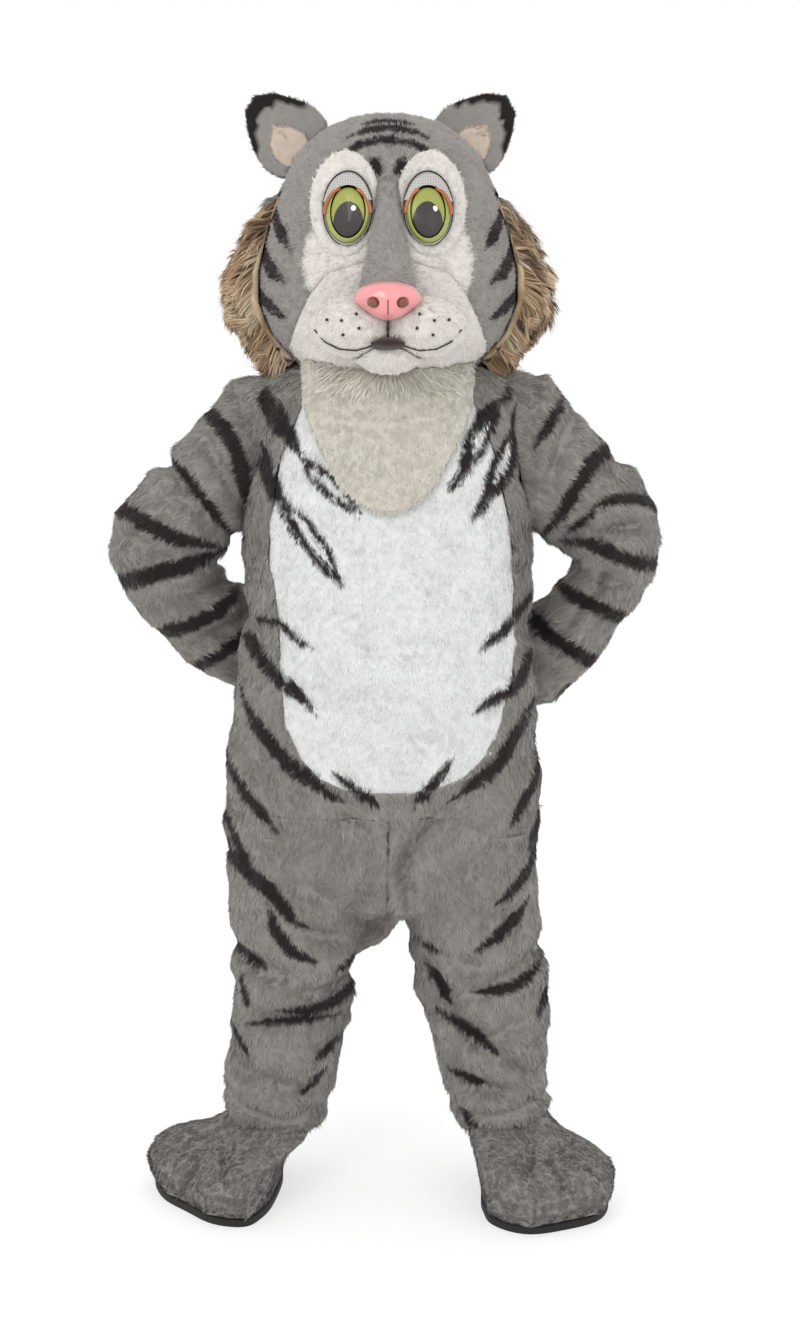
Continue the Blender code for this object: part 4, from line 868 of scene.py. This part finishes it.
def ruffled(points, normals, line):  # back and out from the cheeks, hanging a little
    way = unit((points - headMiddle) * (1, 1, 0.4))
    return way * 0.9 + np.array([0, 0.45, -0.75])


def chest(points, normals, line):
    return np.stack([points[:, 0] * 0.6, np.zeros(len(points)), -np.ones(len(points))], 1)


def underChin(points, normals, line):
    return points - (0, points[:, 1].mean(), upright(1.44))


def underMiddle(points):  # longest pile only below the middle of the chin
    return (points[:, 2] > upright(1.362)) & (np.abs(points[:, 0]) < 0.105)


# Strand length, width and lift, cloth for each strand, how the nap strays and swirls, and tuft size
Pile = namedtuple("Pile", "long wide lift each stray swirl tuft")
piles = {
    "long": Pile(0.0130, 0.0020, 0.20, 5.4e-6, 0.14, 0.45, 0.010),
    "foot": Pile(0.0110, 0.0018, 0.18, 4.5e-6, 0.12, 0.50, 0.010),
    "white": Pile(0.0105, 0.0018, 0.14, 4.4e-6, 0.10, 0.30, 0.012),
    "bib": Pile(0.0100, 0.0017, 0.16, 3.4e-6, 0.09, 0.20, 0.010),
    "fringe": Pile(0.0230, 0.0020, 0.16, 1.5e-5, 0.14, 0.10, 0.012),
    "short": Pile(0.0065, 0.0016, 0.45, 5.2e-6, 0.20, 0.25, 0.007),
    "face": Pile(0.0075, 0.0015, 0.30, 3.8e-6, 0.14, 0.20, 0.008),
    "mane": Pile(0.0400, 0.0028, 0.42, 8.0e-6, 0.28, 0.40, 0.016),
}
uneven = {"white": 0.45, "bib": 0.5, "face": 0.5}  # how much of the usual unevenness in tone a pile has


def thinner(points):  # fewer strands behind
    return np.where(points[:, 1] > 0.04, 0.55, 1.0)


growth = {  # how the strands of every pile differ from each other
    "gather": 0.22, "turn": 0.13, "tuftLift": 0.35, "lift": 0.2, "long": 0.12, "roll": 0.45, "bend": 0.10,
    # creaseShade is painted shade on strands in the creases, at full strength by creaseShadeDepth
    "tuftTone": 0.035, "tone": 0.08, "patchTone": 0.05, "creaseShade": 0.32, "creaseShadeDepth": 0.014, "root": 0.001,
    "reach": 0.012, "facing": 0.12,
    "wave": 0.11, "ripple": 0.045, "rippled": 0.7, "patch": 0.07, "lifts": (0.08, 0.9), "longs": (0.5, 1.3),
    "wides": (0.75, 1.2), "waist": 0.8,
}


def varied(rng, tuft, tufts, byTuft, byStrand):  # a factor for each strand, partly shared by its tuft
    return 1 + byTuft * rng.normal(size=tufts)[tuft] + byStrand * rng.normal(size=len(tuft))


def strandMesh(name, points, tones, dye, loops, starts, sideways):  # tapering blades in their dyes' tones
    mesh = bpy.data.meshes.new(name)
    mesh.vertices.add(points.shape[0] * points.shape[1])
    mesh.vertices.foreach_set("co", points.ravel())
    mesh.loops.add(len(loops))
    mesh.loops.foreach_set("vertex_index", loops.astype(np.int32))
    mesh.polygons.add(len(starts))
    mesh.polygons.foreach_set("loop_start", starts.astype(np.int32))
    mesh.update(calc_edges=True)
    tones = np.clip(tones, darkest, lightest)
    coloured(mesh, (dyeTable[dye][:, None] * tones[:, :, None]).reshape(-1, 3))
    along = (tones - darkest) / (lightest - darkest)
    row = (dye[:, None] + 0.5 + 0.35 * np.array(sideways)) / len(dyeNames)  # a dye's row of the map
    spots = np.stack([0.02 + 0.96 * along, row], 2).reshape(-1, 2)[loops]
    mesh.uv_layers.new(name="OFBake").data.foreach_set("uv", spots.ravel())
    return mesh


def pileOn(name, nodes, pileName, flow, sections=1, shade=(0.80, 1.08), zone=thinner):
    # The strands of one or more panels, as one joined mesh of flat tapering blades.
    pile = piles[pileName]
    rng = np.random.default_rng(sum(map(ord, name)))
    sets = []
    for node in nodes:
        piece = pieces[node]
        mesh = piece["cloth"].data
        mesh.calc_loop_triangles()
        corners = numbers(mesh.loop_triangles, "vertices", dtype=np.int32)
        places, cornerNormals = numbers(mesh.vertices, "co"), numbers(mesh.vertices, "normal")
        a, b, c = (places[corners[:, k]] for k in range(3))
        cross = np.cross(b - a, c - a)
        size = np.linalg.norm(cross, axis=1) / 2
        facing = outward((a + b + c) / 3, unit(cross), piece["line"])
        size = size * (facing > growth["facing"]) * zone((a + b + c) / 3)
        count = int(size.sum() / pile.each)
        pick = rng.choice(len(size), count, p=size / size.sum())
        u, v = rng.random((2, count, 1))
        u, v = np.where(u + v > 1, 1 - u, u), np.where(u + v > 1, 1 - v, v)
        roots = a[pick] + u * (b - a)[pick] + v * (c - a)[pick]
        ends = [cornerNormals[corners[:, k]][pick] for k in range(3)]
        normals = unit(unit(cross)[pick] + ends[0] * (1 - u - v) + ends[1] * u + ends[2] * v)
        way = flow(roots, normals, piece["line"])
        dyed = piece["coat"](roots + unit(way) * min(pile.long, growth["reach"]) * 0.4, normals)
        sets.append((roots, normals, way, dyed, pressed(node, roots)))
    roots, normals, nap, dye, crease = (np.concatenate([s[k] for s in sets]) for k in range(5))
    count = len(roots)

    every = max(int(pile.tuft ** 2 / pile.each), 2)
    heads = rng.permutation(count)[: max(count // every, 4)]
    tree = KDTree(len(heads))
    for i, h in enumerate(heads):
        tree.insert(roots[h], i)
    tree.balance()
    tuft = np.array([tree.find(p)[1] for p in roots])

    nap = unit(nap - normals * np.einsum("ij,ij->i", nap, normals)[:, None])
    ripples = growth["rippled"] * waves(roots, growth["ripple"], 4)
    turn = pile.swirl * (waves(roots, growth["wave"], 3) + ripples)
    turn += rng.normal(0, pile.stray, len(heads))[tuft] + rng.normal(0, growth["turn"], count)
    aside = np.cross(normals, nap)
    nap = nap * np.cos(turn)[:, None] + aside * np.sin(turn)[:, None]
    lift = pile.lift * varied(rng, tuft, len(heads), growth["tuftLift"], growth["lift"])
    lift = np.clip(lift, *growth["lifts"])[:, None]
    way = nap * np.cos(lift) + normals * np.sin(lift)
    long = pile.long * varied(rng, tuft, len(heads), growth["long"], growth["long"])
    long = np.clip(long, *(pile.long * share for share in growth["longs"]))[:, None]
    tips = roots + way * long
    towards = tips[heads[tuft]] - tips
    tips += growth["gather"] * towards * (np.linalg.norm(towards, axis=1) < pile.tuft * 2)[:, None]
    way = unit(tips - roots)
    roll = rng.normal(0, growth["roll"], count)[:, None]
    aside = unit(np.cross(normals, way))
    across = aside * np.cos(roll) + np.cross(way, aside) * np.sin(roll)
    wide = pile.wide * rng.uniform(*growth["wides"], count)[:, None] / 2

    light = growth["tuftTone"] * rng.normal(size=len(heads))[tuft] + growth["tone"] * rng.normal(size=count)
    light = 1 + uneven.get(pileName, 1) * (light + growth["patchTone"] * waves(roots, growth["patch"], 8))
    light *= 1 - growth["creaseShade"] * np.clip(crease / growth["creaseShadeDepth"], -0.3, 1)  # painted shade darkens the strands in the creases, and painted light brightens them on the ridges and waves
    base = roots - normals * growth["root"]
    # roots are painted darker than tips by shade: painted shade down in the pile
    if sections == 1:
        points = np.stack([base - across * wide, base + across * wide, tips], 1)
        tones = np.stack([light * shade[0], light * shade[0], light * shade[1]], 1)
        loops, starts = np.arange(count * 3), np.arange(count) * 3
        sideways = [-1.0, 1.0, 0.0]
    else:
        bend = (base + tips) / 2 + normals * long * growth["bend"]
        tips = tips - normals * long * growth["bend"]
        waist = growth["waist"]
        points = np.stack([base - across * wide, base + across * wide, bend + across * wide * waist,
                           bend - across * wide * waist, tips], 1)
        middle = (shade[0] + shade[1]) / 2
        tones = np.stack([light * shade[0]] * 2 + [light * middle] * 2 + [light * shade[1]], 1)
        own = np.arange(count)[:, None] * 5
        loops = (own + [0, 1, 2, 3, 3, 2, 4]).ravel()
        starts = (np.arange(count)[:, None] * 7 + [0, 4]).ravel()
        sideways = [-1.0, 1.0, waist, -waist, 0.0]
    mesh = strandMesh(name, points, tones, dye, loops, starts, sideways)
    slotName = pieces[nodes[0]]["slot"]
    mesh.materials.append(finishes[slotName][1])
    piece = ride(added(name, mesh))
    print(name, len(starts), "faces")
    return piece


torso, head = wearer["torso"], wearer["head"]
for node, slotName, coat in (
    ("belly_panel", "white_plush", bellyCoat), ("front_left", "grey_plush", bodyCoat),
    ("front_right", "grey_plush", bodyCoat), ("back_left", "grey_plush", bodyCoat),
    ("back_right", "grey_plush", bodyCoat), ("bib", "cream_plush", plainCoat("cream")),
    ("nape_drape", "grey_plush", plainCoat("grey")),
):
    clothFrom(node, torso, slotName, coat)
for node, coat in (("sleeve", sleeveCoat), ("foot", plainCoat("grey")), ("paw", plainCoat("grey"))):
    for side in sides:
        clothFrom(f"{node}_{side}", wearer[f"{node}_{side}"], "grey_plush", coat)
for face, side in (("front", "left"), ("front", "right"), ("back", "left"), ("back", "right")):
    clothFrom(f"leg_{face}_{side}", wearer["leg_" + side], "grey_plush", legCoat)
clothFrom("tail", wearer["tail"], "grey_plush", plainCoat("grey"))
clothFrom("head_shell", head, "short_grey_plush", headCoat, 0.003, 0.014, 4)
clothFrom("lower_face", head, "white_plush", faceCoat, 0.004, 0.014, 4)
for side in sides:
    clothFrom("eye_patch_" + side, head, "white_plush", plainCoat("faceWhite"), 0.003, 0.012, 4)
    puff = "muzzle_" + side
    clothFrom(puff, wearer[puff], "white_plush", plainCoat("faceWhite"), 0.004, 0.010, 4)
    clothFrom("mane_" + side, head, "tan_fur", maneCoat, 0.010, 0.018, 2)
    clothFrom("ear_" + side, wearer["ear_" + side], "short_grey_plush", earCoat, 0.003, 0.010, 3)
    clothFrom("ear_lining_" + side, wearer["ear_" + side], "cream_plush", plainCoat("peach"), 0.001, 0.010, 2)
clothFrom("chin", wearer["chin"], "white_plush", plainCoat("faceWhite"), 0.004, 0.010, 4)
clothFrom("nose_bridge", wearer["nose_bridge"], "short_grey_plush", plainCoat("headGrey"), 0.003, 0.010, 4)
seated("nose_bridge", "head_shell", "eye_patch_left", "eye_patch_right", "lower_face", "muzzle_left",
       "muzzle_right")
print("cloth made")

paleShade = (0.90, 1.04)  # how light the roots and the tips of pale strands are
bellyPile = pileOn("belly_pile", ["belly_panel"], "white", downward, shade=paleShade)
frontPile = pileOn("front_pile", ["front_left", "front_right"], "long", downward)
backPile = pileOn("back_pile", ["back_left", "back_right", "nape_drape"], "long", downward)
bibPile = pileOn("bib_pile", ["bib"], "bib", chest, shade=(0.88, 1.03))
chinFringe = pileOn("chin_fringe", ["bib"], "fringe", underChin, 2, (0.90, 1.06), underMiddle)
for side in sides:
    for node in ("sleeve", "paw"):
        pileOn(f"{node}_{side}_pile", [f"{node}_{side}"], "long", alongLine)
    pileOn(f"foot_{side}_pile", ["foot_" + side], "foot", alongLine, 1, (0.52, 0.74))
    pileOn(f"leg_{side}_pile", ["leg_front_" + side, "leg_back_" + side], "long", alongLine)
pileOn("tail_pile", ["tail"], "long", alongLine)
pileOn("head_pile", ["head_shell"], "short", fromNose)
pileOn("lower_face_pile", ["lower_face"], "face", fromNose, shade=paleShade)
pileOn("eye_patch_pile", ["eye_patch_left", "eye_patch_right"], "short", fromNose, shade=paleShade)
pileOn("muzzle_pile", ["muzzle_left", "muzzle_right", "chin"], "face", fromNose, shade=paleShade)
pileOn("bridge_pile", ["nose_bridge"], "short", fromNose)
pileOn("ear_pile", ["ear_left", "ear_right"], "short", fromMiddle)
pileOn("ear_lining_pile", ["ear_lining_left", "ear_lining_right"], "face", fromMiddle)
for side in sides:
    pileOn(f"mane_{side}_pile", ["mane_" + side], "mane", ruffled, 2, (0.66, 1.02), lambda p: 1.0)
print("pile grown")


facets = {"flat": 0.6, "shape": 3.1, "sharp": 1.2}  # angles between a solid's faces


def smoothCopy(node, name, slotName, *materials, levels=2, keen=False):
    bm = nodeCopy(node)
    bmesh.ops.join_triangles(bm, faces=bm.faces, angle_face_threshold=facets["flat"],
                             angle_shape_threshold=facets["shape"])
    if keen:  # its top and bottom edges stay sharp
        mark = bm.edges.layers.float.new("crease_edge")
        for edge in bm.edges:
            if edge.is_manifold and edge.calc_face_angle() > facets["sharp"]:
                edge[mark] = 1.0
    piece = newPiece(name, bm, *materials)
    finer = piece.modifiers.new("finer", "SUBSURF")
    finer.levels = finer.render_levels = levels
    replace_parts(ride(piece), node)
    return piece


eyeFinish = {
    "white": meshFinish("eyeWhite", linear(205, 205, 200), linear(150, 150, 148), 0.0022, 0.5, coat=0.3),
    "iris": plainFinish("irisGreen", linear(150, 156, 70), 0.25, 160, 0.5, 0.0002, coat=0.8, coatRough=0.08),
    "pupil": pupilFinish("pupilMesh", linear(52, 47, 42), linear(16, 14, 13), linear(150, 156, 70),
                         (0.0635, upright(1.6265), 0.0245, 0.0370), 0.0017, 0.45),
    "rim": plainFinish("eyeRim", linear(164, 92, 48), 0.35, 120, 0.4, 0.0002, coat=0.6),
    "lid": meshFinish("lidMesh", linear(206, 204, 200), linear(128, 126, 122), 0.0026, 0.8),
    "glint": plainFinish("glint", linear(252, 252, 252), 0.2, 50, 0.05, 0.0001, coat=1.0),
    "nose": plainFinish("noseVinyl", linear(228, 146, 147), 0.32, 60, 0.16, 0.0002, coat=0.7, coatRough=0.12),
    "noseSeam": plainFinish("noseSeam", linear(120, 44, 44), 0.5, 60, 0.16, 0.0002),
    "nostril": plainFinish("nostrilVinyl", linear(118, 62, 34), 0.3, 60, 0.3, 0.0002, coat=0.6),
    "felt": plainFinish("mouthFelt", linear(44, 30, 26), 0.95, 300, 0.4, 0.0006, sheen=0.2),
    "thread": plainFinish("darkThread", linear(42, 34, 30), 0.8, 300, 0.3, 0.0003),
}
for side in sides:
    smoothCopy("eye_white_" + side, "eyeball_" + side, "eye_rim_plastic", eyeFinish["white"])
    smoothCopy("iris_" + side, "iris_dome_" + side, "iris_plastic", eyeFinish["iris"])
    smoothCopy("pupil_" + side, "pupil_dome_" + side, "pupil_mesh", eyeFinish["pupil"])
    smoothCopy("eyelid_" + side, "lid_" + side, "eyelid_cloth", eyeFinish["lid"])
    smoothCopy("nostril_" + side, "nostril_disc_" + side, "nostril_vinyl", eyeFinish["nostril"])
smoothCopy("nose", "nose_vinyl", "nose_vinyl", eyeFinish["nose"])
smoothCopy("mouth", "mouth_felt", "dark_felt", eyeFinish["felt"])


def onSurface(trees, x, height, lift, ahead=-1):  # the spot that shows there from the front, or from behind
    hits = [tree.ray_cast(Vector((x, ahead, upright(height))), Vector((0, -ahead, 0))) for tree in trees]
    place, normal, _, _ = min((h for h in hits if h[0]), key=lambda h: h[3])
    return place + normal * lift * (1 if normal.y * ahead > 0 else -1)


def piping(name, places, radius, material, closed=False):
    curve = bpy.data.curves.new(name, "CURVE")
    curve.dimensions = "3D"
    curve.bevel_depth, curve.bevel_resolution, curve.use_fill_caps = radius, 3, True
    spline = curve.splines.new("POLY")
    spline.points.add(len(places) - 1)
    for spot, place in zip(spline.points, places):
        spot.co = (*place, 1)
    spline.use_cyclic_u = closed
    shape = added(name + "_line", curve)
    bm = bmesh.new()
    bm.from_mesh(bpy.data.meshes.new_from_object(shape.evaluated_get(bpy.context.evaluated_depsgraph_get())))
    bpy.data.objects.remove(shape)
    bmesh.ops.recalc_face_normals(bm, faces=bm.faces)
    return ride(newPiece(name, bm, material))


face = {
    "eye": {"x": 0.065, "height": 1.654, "halfWidth": 0.0394, "halfHeight": 0.0590, "thick": 0.0012},
    "lidArch": {"x": 0.065, "height": 1.640, "halfWidth": 0.0370, "halfHeight": 0.0485, "reach": 84,
                "thick": 0.0034},
    "glint": {"x": 0.010, "height": 1.652, "size": 0.0042, "flat": 0.35},
    "whiskers": [(0.050, 1.478), (0.072, 1.470), (0.046, 1.458), (0.094, 1.472), (0.070, 1.450)],
    "whiskerSize": 0.0026,
    "lift": {"outline": 0.0002, "rim": 0.0008, "knots": 0.0036, "smile": 0.0030, "philtrum": 0.0010},
    "thick": {"smile": 0.0013, "philtrum": 0.0016, "noseSeam": 0.0010},
    "philtrum": [(0.0006, 1.478), (0.0006, 1.466), (0.0006, 1.456), (0.0006, 1.446)],
    "smile": [(0.006, 1.446), (0.026, 1.434), (0.050, 1.427), (0.076, 1.429), (0.098, 1.440), (0.114, 1.458)],
    "noseSeam": [(0.0, 1.500), (0.0, 1.492), (0.0, 1.484), (0.0, 1.478)],
}


def eased(places, reach=4, closed=False):  # evens out the steps where a line crosses from part to part
    depths = np.array([place.y for place in places])
    mode = "wrap" if closed else "edge"
    window = np.lib.stride_tricks.sliding_window_view
    foremost = window(np.pad(depths, reach, mode), 2 * reach + 1).min(1)
    even = window(np.pad(foremost, reach, mode), 2 * reach + 1).mean(1)
    return [Vector((place.x, y, place.z)) for place, y in zip(places, even)]


def arc(oval, side, reach=180, count=40):  # points of an oval, from one side of its top to the other
    for i in range(count + 1):
        turn = math.radians(-reach + 2 * reach * i / count)
        across = oval["halfWidth"] * math.sin(turn)
        yield side * oval["x"] + across, oval["height"] + oval["halfHeight"] * math.cos(turn)


lift, thick = face["lift"], face["thick"]
muzzleTrees = surfaces("muzzle_left_cloth", "muzzle_right_cloth", "chin_cloth", "lower_face_cloth")
for name, side in (("left", -1), ("right", 1)):
    eyeParts = ("eyeball_", "iris_dome_", "pupil_dome_", "lid_")
    eyeTrees = surfaces(*(part + name for part in eyeParts), f"eye_patch_{name}_cloth", "head_shell_cloth")
    outline = [onSurface(eyeTrees, x, h, lift["outline"]) for x, h in list(arc(face["eye"], side))[:-1]]
    piping("eye_outline_" + name, eased(outline, 2, True), face["eye"]["thick"],
           eyeFinish["thread"], closed=True)
    arch = face["lidArch"]
    rim = [onSurface(eyeTrees, x, h, lift["rim"]) for x, h in arc(arch, side, arch["reach"])]
    piping("eye_rim_" + name, eased(rim), arch["thick"], eyeFinish["rim"])
    glint = face["glint"]
    place = onSurface(eyeTrees, side * face["eye"]["x"] + glint["x"], glint["height"], lift["outline"])
    bm = bmesh.new()
    shape = Matrix.Translation(place) @ Matrix.Diagonal((1, glint["flat"], 1.1, 1))
    bmesh.ops.create_uvsphere(bm, u_segments=20, v_segments=12, radius=glint["size"], matrix=shape)
    ride(newPiece("glint_" + name, bm, eyeFinish["glint"]))
    bm = bmesh.new()
    for x, h in face["whiskers"]:
        place = onSurface(muzzleTrees, side * x, h, lift["knots"])
        spot = Matrix.Translation(place)
        bmesh.ops.create_icosphere(bm, subdivisions=2, radius=face["whiskerSize"], matrix=spot)
    ride(newPiece("whisker_knots_" + name, bm, eyeFinish["thread"]))
    smile = [onSurface(muzzleTrees, side * x, h, lift["smile"]) for x, h in face["smile"]]
    piping("smile_seam_" + name, smile, thick["smile"], eyeFinish["thread"])
philtrum = [onSurface(muzzleTrees, x, h, lift["philtrum"]) for x, h in face["philtrum"]]
piping("philtrum_seam", philtrum, thick["philtrum"], eyeFinish["thread"])
noseTrees = surfaces("nose_vinyl")
noseSeam = [onSurface(noseTrees, x, h, 0.0) for x, h in face["noseSeam"]]
piping("nose_seam", noseSeam, thick["noseSeam"], eyeFinish["noseSeam"])

rubber = plainFinish("soleRubber", linear(30, 29, 28), 0.8, 220, 0.5, 0.0008)
for side in sides:
    smoothCopy("sole_" + side, "rubber_sole_" + side, "sole_rubber", rubber, keen=True)
tape = plainFinish("zipTape", linear(70, 70, 70), 0.9, 400, 0.4, 0.0005, sheen=0.1)
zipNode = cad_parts["back_zip"]
zipNode.data.materials.clear()
zipNode.data.materials.append(tape)

zipTeeth = {"low": 0.866, "high": 1.418, "step": 0.004, "aside": 0.0012, "size": (0.0038, 0.0016, 0.0024)}
zipTrees, bm = surfaces("back_zip"), bmesh.new()
for i in range(int((zipTeeth["high"] - zipTeeth["low"]) / zipTeeth["step"])):
    aside = zipTeeth["aside"] * (1 if i % 2 else -1)
    place = onSurface(zipTrees, aside, zipTeeth["low"] + i * zipTeeth["step"], 0.0006, ahead=1)
    shape = Matrix.Translation(place) @ Matrix.Diagonal((*zipTeeth["size"], 1))
    bmesh.ops.create_cube(bm, size=1, matrix=shape)
brass = plainFinish("zipTeeth", linear(96, 94, 90), 0.35, 200, 0.3, 0.0001)
ride(newPiece("zip_teeth", bm, brass, smooth=False))
print("face and trims made")

cuts = [  # each cloth panel's cut: width, length and area, how it is held and by what; * is left and right
    ("belly_panel", 0.40, 0.84, (0.270,), "hung", ("front_left", "front_right")),
    ("front_*", 0.22, 0.86, (0.125, 0.115), "hung", ("back_*", "sleeve_*")),
    ("back_*", 0.33, 0.84, (0.230, 0.230), "hung", ("back_zip", "sleeve_*")),
    ("sleeve_*", 0.68, 0.74, (0.330, 0.340), "gathered", ("front_*", "back_*")),
    ("leg_front_*", 0.34, 0.70, (0.200, 0.200), "hung", ("front_*", "foot_*")),
    ("leg_back_*", 0.34, 0.70, (0.200, 0.200), "hung", ("back_*", "foot_*")),
    ("foot_*", 0.50, 0.44, (0.145, 0.145), "stretched", ("sole_*",)),
    ("paw_*", 0.38, 0.24, (0.057, 0.057), "stretched", ("sleeve_*",)),
    ("bib", 0.29, 0.28, (0.060,), "draped", ("belly_panel", "lower_face")),
    ("nape_drape", 0.54, 0.12, (0.040,), "draped", ("head_shell",)),
]
for kind, wide, long, areas, held, rests in cuts:
    for area, side in zip(areas, sides):
        node = kind.replace("*", side)

view = {"distance": 3.6, "height": 1.25, "tilt": 5.45, "lens": 57.1, "sideways": 12 / 1324}
camera = added("camera", bpy.data.cameras.new("camera"))
camera.location = (0, -view["distance"], upright(view["height"]))
camera.rotation_euler = (math.radians(90 - view["tilt"]), 0, 0)
camera.data.lens = view["lens"]
camera.data.sensor_width = 36
camera.data.shift_x = view["sideways"]
bpy.context.scene.camera = camera

world = bpy.data.worlds.new("studio")
bpy.context.scene.world = world
world.use_nodes = True
world.node_tree.nodes["Background"].inputs["Color"].default_value = (1, 1, 1, 1)
world.node_tree.nodes["Background"].inputs["Strength"].default_value = 1.0


def softbox(name, place, aim, size, power):
    light = added(name, bpy.data.lights.new(name, "AREA"))
    light.data.shape = "SQUARE"
    light.data.size = size
    light.data.energy = power
    light.location = place
    light.rotation_euler = (Vector(aim) - Vector(place)).to_track_quat("-Z", "Y").to_euler()


softbox("key", (-1.5, -3.2, 1.9), (0, 0, -0.3), 1.6, 36)
softbox("fill", (2.2, -2.8, 0.9), (0, 0, -0.5), 2.0, 12)
softbox("back", (0.6, 3.0, 1.8), (0, 0, -0.3), 2.0, 20)

bm = bmesh.new()
under = Matrix.Translation((0, 0, ground - 0.0004))
bmesh.ops.create_grid(bm, x_segments=8, y_segments=8, size=9, matrix=under)
paleFloor, nodes, links, shader = newFinish("paleFloor", 0.9)
shader.inputs["Base Color"].default_value = (0.40, 0.40, 0.40, 1)
shader.inputs["Emission Color"].default_value = (1, 1, 1, 1)
shader.inputs["Emission Strength"].default_value = 0.60
floor = newPiece("floor", bm, paleFloor, smooth=False)
bpy.context.scene.view_settings.view_transform = "Standard"
